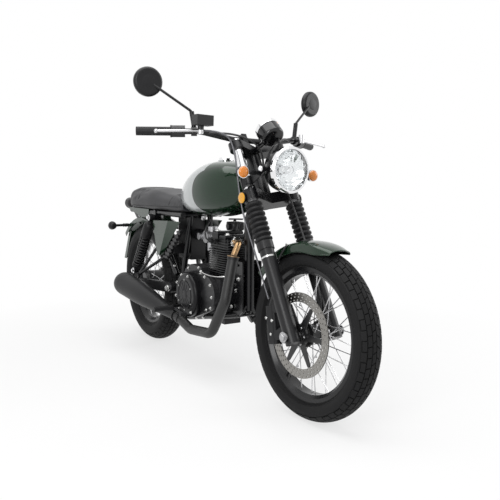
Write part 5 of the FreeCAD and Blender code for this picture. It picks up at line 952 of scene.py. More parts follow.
def wheel_details():
    """Axle nuts, the wheels' bolts and the tyre valves."""
    front, rear = axle_frame(FRONT_WHEEL), axle_frame(REAR_WHEEL)
    shape = Shape()
    for radius, stagger, out, head in FRONT_BOLT_RINGS:
        for i in range(WHEEL_BOLTS):
            place = front @ Vector((*polar(radius, math.tau * (i + stagger) / WHEEL_BOLTS), out))
            shape.cap_screw(place, front.to_3x3() @ Vector((0, 0, -1)), 4.5, head)
    piece("front_wheel_bolts", shape, "steel", "front_wheel")
    for name, wheel, out, height, body in (
        ("front_axle_nuts", front, 132, 7.0, "steering"), ("rear_axle_nuts", rear, 133, 9.0, "chassis")
    ):
        shape = Shape()
        for sign in (-1, 1):
            shape.bolt(wheel @ Vector((0, 0, sign * out)), wheel.to_3x3() @ Vector((0, 0, sign)), 13.0, height)
        piece(name, shape, "steel", body)
    shape = Shape()
    for i in range(WHEEL_BOLTS):
        place = rear @ Vector((*polar(46, math.tau * i / WHEEL_BOLTS), 88.2))
        shape.bolt(place, rear.to_3x3() @ Vector((0, 0, 1)), 6.0, 5.0)
    piece("sprocket_bolts", shape, "steel", "rear_wheel")
    for name, wheel, body, bead in (
        ("front_valve", front, "front_wheel", 229.0), ("rear_valve", rear, "rear_wheel", 216.0)
    ):
        outward = wheel.to_3x3() @ Vector((*polar(1, VALVE_ANGLE), 0))
        place = wheel @ Vector((*polar(bead - 12, VALVE_ANGLE), 0))
        profile = [(-2, 0), (-2, 5), (3, 5), (5, 3.2), (22, 3), (23, 3.6), (32, 3.4), (33, 0)]
        piece(name, Shape().lathe(facing(place, -outward), profile, 12), "rubber", body)


# Lamps, gauge and mirrors

MIRROR_YAW = 11.0
MIRROR_PLACE = (862, 398, 1195)
SIGNAL_X, SIGNAL_Z = 1158, 870
SIGNAL_SIZES = (22.5, 42)
HOUSING_SHARES = (
    (-1, 0), (-1, 0.45), (-0.9, 0.66), (-0.6, 0.86), (-0.1, 0.97), (0.35, 1), (0.35, 0.9), (0.2, 0.9), (0.2, 0),
)
RIM_SHARES = ((0.2, 0.93), (0.2, 1.02), (0.45, 1.02), (0.45, 0.93))

def facet_reflector(frame, depth, radius, rings, sectors, shape):
    """A bowl of flat facets, opening along the frame's Z."""
    points, rows = [], []
    for i in range(rings + 1):
        share = (i + 0.35) / (rings + 0.35)
        height = -depth * (1 - share ** 2)
        row = []
        for j in range(sectors):
            angle = math.tau * (j + (i % 2) * 0.5) / sectors
            row.append(len(points))
            points.append(frame @ Vector((*polar(radius * share, angle), height)))
        rows.append(row)
    shape.add(points, strips(rows, sectors))


def headlamp():
    """The faceted reflector and the bulb's shield behind the glass, and the bolts of the lamp's ears."""
    front = steered(1239, 0, 884)
    ahead = (steered_way(1, 0, 0)).normalized()
    frame = facing(front, ahead)
    shape = Shape()
    facet_reflector(frame @ Matrix.Translation((0, 0, -9.5)), 46.0, 74.5, 7, 26, shape)
    piece("lamp_reflector", shape, "mirror_bright", "steering", "chrome", sharp=0, outward=False)
    shape = Shape()
    shape.lathe(frame, [(-52, 0), (-52, 15), (-38, 15), (-34, 11), (-22, 11), (-18, 8), (-18, 0)], 28)
    shape.ring(frame, [(-20, 15), (-20, 17), (-14, 17), (-14, 15)], 28)
    piece("lamp_bulb_shield", shape, "chrome", "steering")
    shape = Shape()
    for sign in (-1, 1):
        place = steered(1189, sign * 105.5, 884)
        shape.bolt(place, steered_way(0, sign, 0), 7.5, 5.0)
    piece("lamp_bolts", shape, "chrome", "steering")


def domed(base, rise, radius, steps):
    """A quarter circle from a rim to the axis, in heights and radii."""
    angles = [math.pi / 2 * i / steps for i in range(steps)]
    return [(base + rise * math.sin(a), radius * math.cos(a)) for a in angles] + [(base + rise, 0)]


def of_size(height, radius, shares):
    """A profile from shares of a height and a radius."""
    return [(height * up, radius * out) for up, out in shares]


def round_lamp(name, place, facing_way, body, radius, length, lens, stalk_from=None):
    """A turn signal: black housing, bright rim and a domed lens with a ribbed face."""
    frame = facing(place, facing_way)
    half = length / 2
    housing = Shape().lathe(frame, of_size(half, radius, HOUSING_SHARES), 36)
    if stalk_from is not None:
        housing.sweep([stalk_from, stalk_from.lerp(place, 0.5), place], 7.0, 14)
        along = way(stalk_from, place)
        for share in (0.16, 0.24, 0.32, 0.40):
            spot = stalk_from.lerp(place, share)
            housing.ring(facing(spot, along), [(-1.6, 7), (-1.2, 10), (1.2, 10), (1.6, 7)], 20)
    piece(name + "_housing", housing, "black_plastic", body)
    piece(name + "_rim", Shape().ring(frame, of_size(half, radius, RIM_SHARES), 40), "chrome", body)
    glass = Shape()
    profile = [(half * 0.3, 0), (half * 0.3, radius * 0.93)]
    for i in range(9):
        share = i / 8
        ripple = 0.35 if i % 2 else 0.0
        profile.append((half * (0.45 + 0.5 * math.sin(share * math.pi / 2)) + ripple,
                        radius * 0.93 * math.cos(share * math.pi / 2 * 0.96)))
    profile[-1] = (profile[-1][0], 0)
    glass.lathe(frame, profile, 36)
    piece(name + "_lens", glass, lens, body, "amber")


def lamps():
    """The turn signals, and the tail lamp on its two arms."""
    ahead = (steered_way(1, 0, 0)).normalized()
    for sign, name in SIDES:
        root = steered(SIGNAL_X, sign * LEG_Y, SIGNAL_Z)
        place = steered(SIGNAL_X, sign * 165, SIGNAL_Z)
        round_lamp("front_signal_" + name, place, ahead, "steering", *SIGNAL_SIZES, "amber", root)
        place = at(-187, sign * 165, 598)
        stalk = at(-187, sign * 60.3, 598)
        round_lamp("rear_signal_" + name, place, (-1, 0, 0), "chassis", *SIGNAL_SIZES, "amber", stalk)
    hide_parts("front_signals")
    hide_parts("rear_lamps")
    frame = facing(at(-368, 0, 712), (1, 0, 0))
    shape = Shape()
    shape.lathe(frame, [(20, 0), (20, 29), (26, 30), (58, 30), (72, 26), (82, 17), (84, 0)], 40)
    shape.ring(frame, [(18, 27.5), (18, 31), (24, 31), (24, 27.5)], 40)
    foot, top = at(-170, 0, 606), at(-305, 0, 706)
    for side in (-9, 9):
        offset = Vector((0, side * MM, 0))
        shape.hull([
            point + offset + Vector((dx * MM, dy * MM, dz * MM))
            for point in (foot, top) for dx, dz in ((-9, -5), (9, -5), (9, 9), (-9, 9)) for dy in (-1.5, 1.5)
        ])
    shape.bolt(at(-187, 61, 598), Vector((0, 1, 0)), 8, 5)
    shape.bolt(at(-187, -61, 598), Vector((0, -1, 0)), 8, 5)
    piece("tail_lamp_shell", shape, "slider_grey", "chassis", "slider_grey", ("rear_lamps",))
    lens = Shape().lathe(frame, [(20, 0)] + domed(20, -18, 27.3, 8), 40)
    piece("tail_lamp_lens", lens, "red_lens", "chassis", "amber")


def gauge():
    """The speedometer's bezel, dial with its marks and numbers, and needle on the drum."""
    tilt = math.radians(50)
    face = steered_way(-math.sin(tilt), 0, math.cos(tilt))
    centre = steered(1101, 0, 1022) + face * 30 * MM
    frame = facing(centre, face, steered_way(1, 0, 0))
    bezel = Shape().ring(frame, [(-12, 44.6), (-12, 47.6), (3.5, 47.6), (5, 46), (5, 40.5), (1, 40)], 64)
    piece("gauge_bezel", bezel, "chrome", "steering")
    dial = Shape().lathe(frame, [(-2.6, 0), (-2.6, 40.3), (0.4, 40.3), (0.4, 0)], 48)
    piece("gauge_dial", dial, "dial_black", "steering", "black_plastic")
    shape = Shape()
    for i in range(33):
        angle = math.radians(222 - i * 264 / 32)
        major = i % 4 == 0
        inner, outer = (31.0 if major else 34.0), 38.0
        width = 0.8 if major else 0.35
        spin = frame @ Matrix.Rotation(angle + math.pi / 2, 4, "Z")
        shape.box(spin @ Matrix.Translation(((inner + outer) / 2, 0, 0.6)), (outer - inner, width * 2, 0.5), 0.1)
    spin = frame @ Matrix.Rotation(math.radians(222 + 90), 4, "Z")
    shape.box(spin @ Matrix.Translation((12, 0, 1.4)), (38, 1.8, 0.6), 0.2)
    shape.lathe(frame, [(0.3, 0), (0.3, 4.5), (2.2, 4.2), (2.4, 0)], 20)
    for i in range(9):
        angle = math.radians(222 - i * 33)
        spin = frame @ Matrix.Rotation(angle + math.pi / 2, 4, "Z")
        for k, text in enumerate(str(i * 20)):
            offset = (k - (len(str(i * 20)) - 1) / 2) * 3.4
            middle = spin @ Vector((26.0, 0, 0.6))
            digit(shape, facing(middle, face, steered_way(1, 0, 0)), text, offset)
    piece("gauge_marks", shape, "dial_white", "steering", "black_plastic", sharp=0)


SEGMENTS = {
    "0": "abcdef", "1": "bc", "2": "abged", "4": "fgbc", "6": "acdefg", "8": "abcdefg",
}
STROKES = {
    "a": (0, 2, 2, 0.5), "b": (1, 1, 0.5, 2), "c": (1, -1, 0.5, 2), "d": (0, -2, 2, 0.5), "e": (-1, -1, 0.5, 2),
    "f": (-1, 1, 0.5, 2), "g": (0, 0, 2, 0.5),
}


def digit(shape, frame, character, offset):
    """A number on the dial, out of short strokes, read from the rider's side."""
    for letter in SEGMENTS[character]:
        across, up, wide, high = STROKES[letter]
        shape.box(frame @ Matrix.Translation((up, -(across + offset), 0)), (high, wide, 0.4), 0.05)


def mirror_frame(sign, end):
    """A frame at a mirror's middle, with Z out of its glass for 1 and out of its back for -1."""
    yaw = math.radians(MIRROR_YAW)
    x, y, z = MIRROR_PLACE
    return facing(steered(x, sign * y, z), steered_way(-math.cos(yaw), sign * -math.sin(yaw), 0) * end)


def mirrors():
    """The glass of each mirror and the rim round it."""
    for sign, name in SIDES:
        frame = mirror_frame(sign, 1)
        glass = Shape().lathe(frame, [(8.0, 0), (8.0, 50), (10.6, 50), (10.9, 46), (11.2, 0)], 56)
        piece("mirror_glass_" + name, glass, "mirror_bright", "steering", "chrome")
        rim = Shape().ring(frame, [(8.5, 49.5), (8.5, 54.6), (12.0, 54.0), (12.4, 51.0), (11.5, 49.5)], 56)
        piece("mirror_rim_" + name, rim, "black_plastic", "steering")


# Suspension and drive

def shocks():
    """Coil springs over dampers in place of the ringed solids."""
    for sign, name in SIDES:
        low, high = at(48, sign * 127, 380), at(262, sign * 127, 664)
        length = (high - low).length / MM
        frame = facing(low, high - low)
        body = Shape()
        body.lathe(frame, [
            (14, 0), (14, 15), (length * 0.10, 15), (length * 0.10, 27.5), (length * 0.125, 27.5), (length * 0.14, 24),
            (length * 0.14, 16), (length * 0.66, 16), (length * 0.66, 0),
        ], 32)
        body.lathe(frame, [
            (length * 0.675, 0), (length * 0.675, 27.5), (length * 0.69, 28), (length * 0.86, 26.5),
            (length * 0.885, 22), (length * 0.90, 14), (length * 0.95, 12), (length * 0.95, 0),
        ], 32)
        for place in (low, high):
            body.ring(facing(place, (0, 1, 0)), [(-12.5, 7), (-12.5, 14), (12.5, 14), (12.5, 7)], 24)
        piece("shock_body_" + name, body, "matt_metal", "chassis", "black_metal", ("rear_shocks",))
        coil = Shape()
        turns = 10.5
        start, end = length * 0.145, length * 0.672
        points = []
        steps = int(turns * 20)
        for i in range(steps + 1):
            share = i / steps
            angle = math.tau * turns * share
            height = start + (end - start) * share
            points.append(frame @ Vector((*polar(23.6, angle), height)))
        coil.sweep(points, 3.9, 10)
        piece("shock_spring_" + name, coil, "black_metal", "chassis")
        nuts = Shape()
        for place in (low, high):
            nuts.bolt(place + Vector((0, sign * 13.5 * MM, 0)), Vector((0, sign, 0)), 10, 8)
            cap = facing(place + Vector((0, sign * 20 * MM, 0)), (0, sign, 0))
            nuts.lathe(cap, [(0, 0), (0, 8), (3, 7), (6, 3), (6.5, 0)], 20)
        piece("shock_nuts_" + name, nuts, "chrome", "chassis")


def chain():
    """Rollers and side plates round both sprockets."""
    rear, front = Vector((0, 314)), Vector((562, 338))
    rear_radius, front_radius = 84.0, 36.0
    span = (front - rear).length
    lean = math.atan2(front.y - rear.y, front.x - rear.x)
    wrap = math.asin((rear_radius - front_radius) / span)
    straight = span * math.cos(wrap)
    top = lean + math.pi / 2 - wrap
    low = lean - math.pi / 2 + wrap
    rear_arc = math.tau - (top - low)
    front_arc = top - low
    total = straight * 2 + rear_radius * rear_arc + front_radius * front_arc
    count = round(total / 12.7 / 2) * 2
    pitch = total / count

    def rim(centre, angle, radius):
        return centre + Vector((math.cos(angle), math.sin(angle))) * radius

    def spot(distance):
        """A place at a distance along the chain, from the top of the rear sprocket forward."""
        distance %= total
        if distance < straight:
            return rim(rear, top, rear_radius).lerp(rim(front, top, front_radius), distance / straight)
        distance -= straight
        if distance < front_radius * front_arc:
            return rim(front, top - distance / front_radius, front_radius)
        distance -= front_radius * front_arc
        if distance < straight:
            return rim(front, low, front_radius).lerp(rim(rear, low, rear_radius), distance / straight)
        return rim(rear, low - (distance - straight) / rear_radius, rear_radius)

    shape = Shape()
    for i in range(count):
        a, b = spot(i * pitch), spot((i + 1) * pitch)
        first, last = at(a.x, 85, a.y), at(b.x, 85, b.y)
        middle = (first + last) / 2
        frame = facing(middle, Vector((0, 1, 0)), last - first)
        reach = (last - first).length / MM / 2
        outline = []
        for centre, turn in ((reach, -90), (-reach, 90)):
            for k in range(5):
                angle = math.radians(turn + k * 45)
                outline.append((centre + 5.6 * math.cos(angle), 5.6 * math.sin(angle)))
        outline.insert(5, (0, 4.0))
        outline.append((0, -4.0))
        gap = 4.4 if i % 2 else 5.9
        for side in (-1, 1):
            shape.prism(frame, outline, side * gap - 0.65, side * gap + 0.65)
        shape.lathe(facing(first, (0, 1, 0)), [(-7, 0), (-7, 1.9), (-4, 3.9), (4, 3.9), (7, 1.9), (7, 0)], 8)
    piece("chain_links", shape, "chain_steel", "chassis", "steel", ("drive_chain",), sharp=30)


def sprocket():
    """The rear sprocket's toothed plate and its boss."""
    shape = Shape()
    frame = axle_frame(REAR_WHEEL)
    teeth = 42
    outline = []
    for i in range(teeth * 4):
        angle = math.tau * i / (teeth * 4)
        radius = (78.0, 83.5, 83.5, 78.0)[i % 4]
        outline.append(polar(radius, angle))
    shape.prism(frame, outline, 82.2, 87.8)
    shape.lathe(frame, [(65, 0), (65, 44), (82, 46), (88.6, 46), (89, 20), (89, 0)], 40)
    piece("sprocket_teeth", shape, "steel", "rear_wheel", "steel", ("rear_sprocket",), sharp=30)


# Details that sit on the solids

def tree_of(*names):
    """The surfaces of CAD nodes, to seat details on."""
    points, faces = [], []
    for name in names:
        thing = frame["nodes"][name]
        start = len(points)
        points += [thing.matrix_world @ v.co for v in thing.data.vertices]
        faces += [tuple(start + i for i in polygon.vertices) for polygon in thing.data.polygons]
    return BVHTree.FromPolygons(points, faces)


def seated(tree, start, direction):
    """Where a line from a place first meets a surface."""
    place, _, _, _ = tree.ray_cast(start, Vector(direction).normalized())
    return place


def bolt_field(name, nodes, places, direction, radius, screw=False):
    """Bolts set on the chassis's solids from one side, each at a place across that side."""
    tree = tree_of(*nodes)
    shape = Shape()
    for place in places:
        size = place[3] if len(place) > 3 else radius
        spot = seated(tree, at(*place[:3]), direction)
        if spot is None:
            continue
        if screw:
            shape.cap_screw(spot, -Vector(direction), size, size * 0.8)
        else:
            shape.bolt(spot, -Vector(direction), size)
    piece(name, shape, "bolt_steel", "chassis", "steel")


def loop_at(mesh, place, normal):
    """The outline where a plane cuts a mesh, as ordered points."""
    cut = bmesh.new()
    cut.from_mesh(mesh)
    geometry = cut.verts[:] + cut.edges[:] + cut.faces[:]
    result = bmesh.ops.bisect_plane(
        cut, geom=geometry, plane_co=place, plane_no=normal, clear_inner=True, clear_outer=True
    )
    edges = [g for g in result["geom_cut"] if isinstance(g, bmesh.types.BMEdge)]
    near = {}
    for edge in edges:
        for a, b in ((edge.verts[0], edge.verts[1]), (edge.verts[1], edge.verts[0])):
            near.setdefault(a, []).append(b)
    best, seen = [], set()
    for start in near:
        if start in seen:
            continue
        run, here, before = [start], start, None
        seen.add(start)
        while True:
            onward = [v for v in near[here] if v is not before and v not in seen]
            if not onward:
                break
            before, here = here, onward[0]
            seen.add(here)
            run.append(here)
        if len(run) > len(best):
            best = run
    points = [v.co.copy() for v in best]
    cut.free()
    return points


LINE_STEP = 0.008


def eased(points, step, rounds=3, closed=True):
    """Points spread evenly along a line and smoothed."""
    ends = points + points[:1] if closed else points
    lengths = [0.0]
    for a, b in zip(ends, ends[1:]):
        lengths.append(lengths[-1] + (b - a).length)
    count = max(8, round(lengths[-1] / step))
    out, j = [], 0
    for i in range(count if closed else count + 1):
        goal = lengths[-1] * i / count
        while j + 2 < len(lengths) and lengths[j + 1] < goal:
            j += 1
        part = (goal - lengths[j]) / max(lengths[j + 1] - lengths[j], 1e-9)
        out.append(ends[j].lerp(ends[j + 1], min(max(part, 0), 1)))
    for _ in range(rounds):
        last = len(out)
        out = [
            (out[i - 1] + out[i] * 2 + out[(i + 1) % last]) / 4 if closed or 0 < i < last - 1 else out[i]
            for i in range(last)
        ]
    return out


# The seat pad's remeshing, swelling and cloth
PAD_VOXEL = 0.0065
PAD_SWELL = 0.007
PAD_FRAMES = 20
PAD_SHRINK = 0.985
PAD_HELD = 0.012
CLOTH = {
    "quality": 5, "mass": 0.4, "tension_stiffness": 25, "compression_stiffness": 25, "bending_stiffness": 1.5,
    "use_pressure": True, "uniform_pressure_force": 4.0, "vertex_group_mass": "held",
}
SEAT_SEAM_X = 430.0
SEAT_SEAM_REAR_X = 92.0


def applied(thing):
    """Bakes a piece's modifiers into its mesh."""
    graph = bpy.context.evaluated_depsgraph_get()
    mesh = bpy.data.meshes.new_from_object(thing.evaluated_get(graph))
    thing.modifiers.clear()
    thing.data = mesh


def seat():
    """The bench seat, swollen by cloth pressure over its solid, with piping round its edge and two seams."""
    source = frame["nodes"]["seat"]
    low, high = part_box("seat")
    middle = (Vector(low) + Vector(high)) / 2
    pad = linked("seat_pad", source.data.copy())
    for vertex in pad.data.vertices:
        offset = vertex.co - middle
        vertex.co = middle + Vector((offset.x * PAD_SHRINK, offset.y * PAD_SHRINK, offset.z * PAD_SHRINK))
    remesh = pad.modifiers.new("remesh", "REMESH")
    remesh.mode = "VOXEL"
    remesh.voxel_size = PAD_VOXEL
    soften = pad.modifiers.new("soften", "SMOOTH")
    soften.factor = 0.5
    soften.iterations = 6
    applied(pad)
    before = [vertex.co.copy() for vertex in pad.data.vertices]
    base = min(point.z for point in before)
    held = pad.vertex_groups.new(name="held")
    held.add([i for i, point in enumerate(before) if point.z < base + PAD_HELD], 1.0, "REPLACE")
    cloth = pad.modifiers.new("cloth", "CLOTH")
    for setting, value in CLOTH.items():
        setattr(cloth.settings, setting, value)
    cloth.settings.effector_weights.gravity = 0.0
    for step in range(1, PAD_FRAMES + 1):
        bpy.context.scene.frame_set(step)
    applied(pad)
    bpy.context.scene.frame_set(1)
    for vertex, start in zip(pad.data.vertices, before):
        moved = vertex.co - start
        if moved.length > PAD_SWELL:
            vertex.co = start + moved * (PAD_SWELL / moved.length)
    rounded = pad.modifiers.new("rounded", "SUBSURF")
    rounded.levels = 1
    applied(pad)
    mesh = pad.data
    mesh.materials.clear()
    mesh.materials.append(MATERIALS["vinyl"])
    mesh.polygons.foreach_set("use_smooth", [True] * len(mesh.polygons))
    mesh.polygons.foreach_set("material_index", [0] * len(mesh.polygons))
    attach(pad, "chassis")
    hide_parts("seat")
    piping = Shape()
    edge = loop_at(mesh, Vector((middle.x, 0, base + 0.017)), Vector((-0.02, 0, 1)))
    piping.sweep(eased(edge, LINE_STEP), 2.6, 8, True)
    for place, lean in ((SEAT_SEAM_X, -0.16), (SEAT_SEAM_REAR_X, 0.0)):
        across = loop_at(mesh, at(place, 0, 760), Vector((1, 0, lean)).normalized())
        piping.sweep(eased(across, LINE_STEP), 1.7, 8, True)
    piece("seat_piping", piping, "vinyl_seam", "chassis", "vinyl")


# Directions from each side, and the place clear of the motorcycle that lines start from
FROM_RIGHT, FROM_LEFT = (0, 1, 0), (0, -1, 0)
CLEAR_Y = 300
COVER_X, COVER_Z = 672, 350
COVER_RIBS = 14


def beside(side, *places):
    """Places given along and up, with any size of their own, taken out to one side."""
    return [(x, side * CLEAR_Y, z, *size) for x, z, *size in places]


def cover_circle(side, radius, degrees):
    """Places round the engine cover's middle."""
    angles = [math.radians(d) for d in degrees]
    return beside(side, *((COVER_X + radius * math.cos(a), COVER_Z + radius * math.sin(a)) for a in angles))


def engine():
    """Bolts, the oil line, the plug's cap and the covers' ribs."""
    covers = ("engine_covers", "crankcase")
    front = beside(-1, (851.6, 414.5), (803, 442.8), (863.2, 364.9), (853, 318), (815, 304))
    case = beside(-1, (700.6, 468), (560, 300), (885, 300), (600, 455), (780, 462))
    tubes = beside(
        -1, (938, 398.2, 6.5), (958, 447.5, 6.5), (436, 445.5, 6.0), (630, 232, 5.5), (695, 246, 5.5),
        (909, 328.1, 6.5), (909, 416, 6.5)
    )
    heads = [(820 + x, y, 700) for x in (-42, 42) for y in (-44, 44)]
    for name, nodes, places, direction, radius, screw in (
        ("cover_bolts_right", covers, cover_circle(-1, 89, range(70, 331, 40)) + front, FROM_RIGHT, 4.6, False),
        ("cover_screws_right", covers[:1], cover_circle(-1, 66, range(30, 390, 60)), FROM_RIGHT, 3.4, True),
        ("cover_bolts_left", covers, cover_circle(1, 78, range(15, 360, 45)), FROM_LEFT, 4.6, False),
        ("case_bolts", covers[1:], case, FROM_RIGHT, 4.6, False),
        ("mount_bolts", ("frame", "seat_frame"), tubes, FROM_RIGHT, 6.0, False),
        ("pivot_nut", ("pivot_shaft",), beside(-1, (462, 348)), FROM_RIGHT, 11.0, False),
        ("pivot_head", ("pivot_shaft",), beside(1, (462, 348)), FROM_LEFT, 11.0, False),
        ("head_nuts", ("cylinder_head",), heads, (0, 0, -1), 7.5, False),
    ):
        bolt_field(name, nodes, places, direction, radius, screw)
    shape = Shape()
    face = seated(tree_of("engine_covers"), at(COVER_X, -CLEAR_Y, COVER_Z), FROM_RIGHT)
    dial = facing(face, FROM_LEFT)
    shape.ring(dial, [(-0.6, 56), (-0.6, 60), (1.6, 59), (1.6, 57)], 64)
    shape.lathe(dial, [(-0.6, 0), (-0.6, 20), (1.4, 19), (2.4, 14), (2.4, 0)], 48)
    for i in range(COVER_RIBS):
        spin = dial @ Matrix.Rotation(math.tau * i / COVER_RIBS, 4, "Z") @ Matrix.Translation((38, 0, 0.4))
        shape.box(spin, (33, 2.6, 2.6), 0.7)
    piece("cover_ribs", shape, "engine_black", "chassis")
    line = Shape()
    spots = [at(*p) for p in (
        (722, -93, 458), (729, -99, 455), (760, -100.5, 450), (815, -100.5, 447), (870, -100.5, 450), (906, -99, 455),
        (921, -88, 457), (923, -70, 456), (920, -60, 452),
    )]
    line.sweep(eased(spots, LINE_STEP, 2, False), 3.2, 10)
    for spot, along in ((at(726, -97, 456), (0.7, -0.6, 0)), (at(923, -72, 456), (0, 1, 0))):
        line.lathe(facing(spot, along), [(-5, 0), (-5, 6), (5, 6), (5, 0)], 6)
    piece("oil_line", line, "bolt_steel", "chassis", "steel")
    plug = Shape()
    root = seated(tree_of("cylinder_head"), at(800, -CLEAR_Y, 588), FROM_RIGHT)
    out = Vector((-0.25, -0.93, 0.28)).normalized()
    plug.lathe(facing(root, out), [(-3, 0), (-3, 10), (5, 10), (8, 6.5), (14, 6.5), (14, 0)], 20)
    cap = facing(root + out * 12 * MM, out)
    plug.lathe(cap, [(0, 0), (0, 9), (3, 10), (14, 9.2), (17, 7), (18, 0)], 20)
    piece("plug_cap", plug, "rubber", "chassis")
    end = root + out * 27 * MM
    lead = [
        end, end + out * 14 * MM, at(778, -104, 622), at(764, -90, 650), at(742, -64, 668), at(716, -48, 676),
    ]
    cord("plug_lead", lead, 3.5, "chassis", "cord_rubber")


def under_tank():
    """The ignition coil on its bracket and the fuel tap, below the tank."""
    shape = Shape()
    coil = facing(at(852, 0, 655), (0, 1, 0))
    shape.box(coil, (36, 62, 54), 4.0)
    shape.lathe(facing(at(852, -22, 655), (0, -1, 0)), [(0, 0), (0, 13), (16, 12), (16, 0)], 24)
    shape.box(facing(at(858, 0, 684), (0, 0, 1)), (60, 16, 6), 1.0)
    for x, y in ((905, -22), (915, 18), (790, 26)):
        shape.lathe(facing(at(x, y, 640), (0.1, 0.2, 1)), [(0, 0), (0, 7), (34, 7), (38, 4), (38, 0)], 16)
    piece("ignition_coil", shape, "black_plastic", "chassis")
    tap = Shape()
    tap.lathe(facing(at(690, -62, 676), (0, 0, 1)), [(0, 0), (0, 8), (8, 11), (14, 11), (14, 0)], 20)
    tap.lathe(facing(at(690, -62, 680), (0, -1, 0)), [(0, 0), (0, 8), (10, 8), (12, 5), (12, 0)], 16)
    piece("fuel_tap", tap, "alloy", "chassis")


def exhaust():
    """The header's flange, its nuts and the joints' collars."""
    shape = Shape()
    flange = facing(at(921, -34, 592), (1, 0, 0))
    shape.prism(flange, [(math.cos(a) * (27 if k % 2 else 21), math.sin(a) * (27 if k % 2 else 21)) for k, a in
                         ((k, math.tau * k / 16) for k in range(16))], -3, 4, 1.0)
    for side in (-1, 1):
        shape.bolt(at(925, -34 + side * 22, 592), Vector((1, 0, 0)), 5.0, 6.0)
    piece("header_flange", shape, "bolt_steel", "chassis", "steel")
    collars = Shape()
    for place, along, radius in (
        (at(990, -90, 541), Vector((0, -0.2, -0.98)), 21.3), (at(640, -157, 239), Vector((-1, 0.0, 0.05)), 21.3),
        (at(596, -160.3, 246.6), Vector((-1, -0.083, 0.15)), 23.5),
    ):
        around = facing(place, along)
        collars.ring(around, [(-8, radius - 1), (-8, radius + 2.2), (8, radius + 2.2), (8, radius - 1)], 40)
        collars.cap_screw(around @ Vector((0, radius + 3, 0)), around.to_3x3() @ Vector((1, 0, 0)), 4.0, 9.0)
    piece("exhaust_collars", collars, "exhaust_black", "chassis")


def fork_details():
    """Reflectors, pinch bolts, gaiter collars and the caliper's screws."""
    spot = STEERED.inverted() @ at(1127.0, -131.0, 781.0)
    for sign, name in SIDES:
        centre = STEERED @ Vector((spot.x, sign * abs(spot.y), spot.z))
        out = steered_way(0, sign, 0)
        around = facing(centre, out)
        back = Shape()
        back.lathe(around, [(-6, 0), (-6, 18), (-3, 21.5), (1, 21.5), (1, 0)], 36)
        back.box(around @ Matrix.Translation((8, 0, -10)), (22, 14, 12), 1.5)
        piece("reflector_back_" + name, back, "black_plastic", "steering")
        lens = Shape()
        lens.lathe(around, [(0.5, 0), (0.5, 20), (2.6, 20), (4.2, 18), (4.8, 10), (5.0, 0)], 40)
        piece("reflector_" + name, lens, "reflector", "steering", "amber")
    collars = Shape()
    for sign in (-1, 1):
        for along, radius in ((478, 24.6), (296, 27.6)):
            place = fork(0, sign * LEG_Y, along)
            profile = [(-3, radius - 3), (-3, radius), (3, radius), (3, radius - 3)]
            collars.ring(facing(place, STEERED.to_3x3() @ UP), profile, 36)
    out = steered_way(0, -1, 0)
    tree = tree_of("brake_caliper")
    for dx, dz in ((-16, 26), (18, 22), (-20, -24), (16, -28)):
        place = seated(tree, at(1261.8 + dx, -300, 322.8 + dz), (0, 1, 0))
        if place is not None:
            collars.cap_screw(place, out, 5.5, 4.5)
    for sign in (-1, 1):
        for along in (20, 12):
            collars.cap_screw(fork(18, sign * LEG_Y, along - 30), STEERED.to_3x3() @ AHEAD, 4.0, 5.0)
    piece("fork_fastenings", collars, "bolt_steel", "steering", "steel")


def mirror_backs():
    """A smooth dome over each mirror's front."""
    for sign, name in SIDES:
        profile = [(-9, 0), (-9, 54.8)] + domed(-6, 18, 55.2, 12)
        dome = Shape().lathe(mirror_frame(sign, -1), profile, 56)
        piece("mirror_dome_" + name, dome, "black_plastic", "steering", sharp=50)


THROTTLE_ROUTE = (
    (968, -198, 1014), (990, -170, 1016), (1024, -128, 1016), (1062, -72, 1000), (1076, -26, 966), (1070, -6, 920),
    (1064, -2, 872), (1058, 0, 846),
)


def control_cords():
    """The throttle and clutch cables, looping from the bar down to the headstock."""
    for sign, name in ((1, "throttle_cable"), (-1, "clutch_cable")):
        points = [steered(x, y * sign, z) for x, y, z in THROTTLE_ROUTE]
        cord(name, points, 4.0, "steering", "cord_rubber")


# Degrees round the wheel from its front edge to its rear one, then millimetres
GUARD_FRONT = 68.0
GUARD_REAR = 143.0
GUARD_TOP = 330.0
GUARD_HALF = 60.0
GUARD_SKIRT = 40.0
GUARD_CROWN = 15.0
GUARD_WALL = 1.8
GUARD_ROLL = 2.3
# How far across the channel its crown bends before its sides drop
GUARD_SHOULDER = 0.62


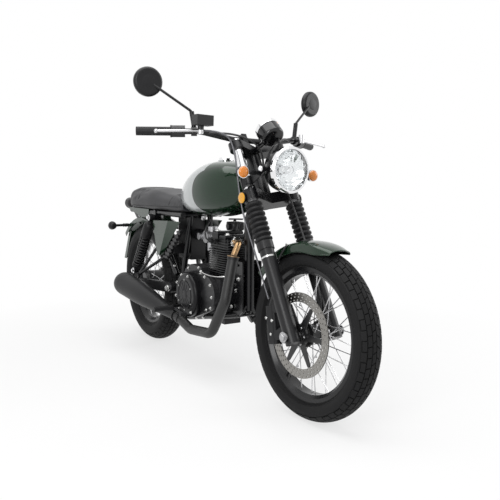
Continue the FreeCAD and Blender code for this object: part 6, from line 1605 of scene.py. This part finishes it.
def front_guard():
    """The short front mudguard: a crowned channel with a rounded nose, rolled edges, a centre bead and its stays."""
    wheel = axle_frame(FRONT_WHEEL)
    across = 16
    along = 40
    shape = Shape()
    rolls = {-1: [], 1: []}

    def section(angle, inner):
        """Points across the channel from the right edge to the left one."""
        nose = max(0.0, 1 - (angle - GUARD_FRONT) / 14.0)
        wall = GUARD_WALL if inner else 0.0
        half = GUARD_HALF - 13.0 * nose ** 2 - wall
        skirt = GUARD_SKIRT - 24.0 * nose ** 1.5
        top = GUARD_TOP - wall
        row = []
        for k in range(across + 1):
            t = k / across * 2 - 1
            bend = min(1.0, abs(t) / GUARD_SHOULDER)
            if abs(t) <= GUARD_SHOULDER:
                y = half * math.sin(bend * math.pi / 2)
                r = top - GUARD_CROWN * (1 - math.cos(bend * math.pi / 2))
            else:
                y = half
                r = top - GUARD_CROWN - (skirt - GUARD_CROWN) * (abs(t) - GUARD_SHOULDER) / (1 - GUARD_SHOULDER)
            row.append((math.copysign(y, t) if t else 0.0, r))
        return row

    points, rows = [], []
    for i in range(along + 1):
        angle = GUARD_FRONT + (GUARD_REAR - GUARD_FRONT) * i / along
        spin = math.radians(angle)
        row = []
        loop = section(angle, False) + list(reversed(section(angle, True)))
        for y, r in loop:
            row.append(len(points))
            points.append(wheel @ Vector((r * math.cos(spin), -r * math.sin(spin), y)))
        rows.append(row)
        for sign, (y, r) in ((-1, loop[0]), (1, loop[across])):
            rolls[sign].append(wheel @ Vector((r * math.cos(spin), -r * math.sin(spin), y - sign * 0.9)))
    count = len(rows[0])
    faces = strips(rows, count)
    for row, flip in ((rows[0], False), (rows[-1], True)):
        for k in range(across):
            quad = (row[k], row[k + 1], row[count - 2 - k], row[count - 1 - k])
            faces.append(tuple(reversed(quad)) if flip else quad)
    shape.add(points, faces)
    for sign in (-1, 1):
        shape.sweep(rolls[sign], GUARD_ROLL, 8)
    for end in (rows[0], rows[-1]):
        shape.sweep([points[k] for k in end[:across + 1]], GUARD_ROLL, 8)
    piece("front_guard", shape, "green_paint", "steering", "green_paint", ("front_mudguard",), sharp=45)
    stays = Shape()
    bolts = Shape()
    for sign in (-1, 1):
        for low, high in ((106.0, 118.0), (128.0, 118.0)):
            a = wheel @ Vector((322 * math.cos(math.radians(low)), -322 * math.sin(math.radians(low)), sign * 59.5))
            b = fork(-2 if low > 110 else 6, sign * 76.0, 268 + (low - 106) * 0.4)
            stays.sweep(eased([a, a.lerp(b, 0.5) + Vector((0, sign * 4 * MM, 0)), b], LINE_STEP, 2, False), 4.0, 10)
            bolts.cap_screw(a, steered_way(0, sign, 0), 5.0, 5.0)
        bolts.cap_screw(fork(6, sign * 66.0, 276), steered_way(0, -sign, 0), 5.0, 4.0)
    piece("guard_stays", stays, "black_metal", "steering")
    piece("guard_bolts", bolts, "bolt_steel", "steering", "steel")


camera()
cords()
control_cords()
floor()
world()
softbox("overhead", (0.3, -0.4, 3.2), (0.1, 0.0, 0.5), (3.4, 2.6), 70.0)
softbox("front_side", (2.6, -3.0, 2.0), (0.3, 0.0, 0.6), (1.6, 2.2), 60.0)
softbox("left_side", (1.2, 3.4, 1.8), (0.1, 0.0, 0.6), (2.4, 1.8), 35.0)
tyre("front_tyre", FRONT_WHEEL, *FRONT_TYRE, "front_wheel")
tyre("rear_tyre", REAR_WHEEL, *REAR_TYRE, "rear_wheel")
drilled_disc()
wheel_details()
headlamp()
lamps()
gauge()
mirrors()
shocks()
chain()
sprocket()
seat()
engine()
under_tank()
exhaust()
fork_details()
front_guard()
mirror_backs()
bpy.context.scene.view_settings.view_transform = "Standard"
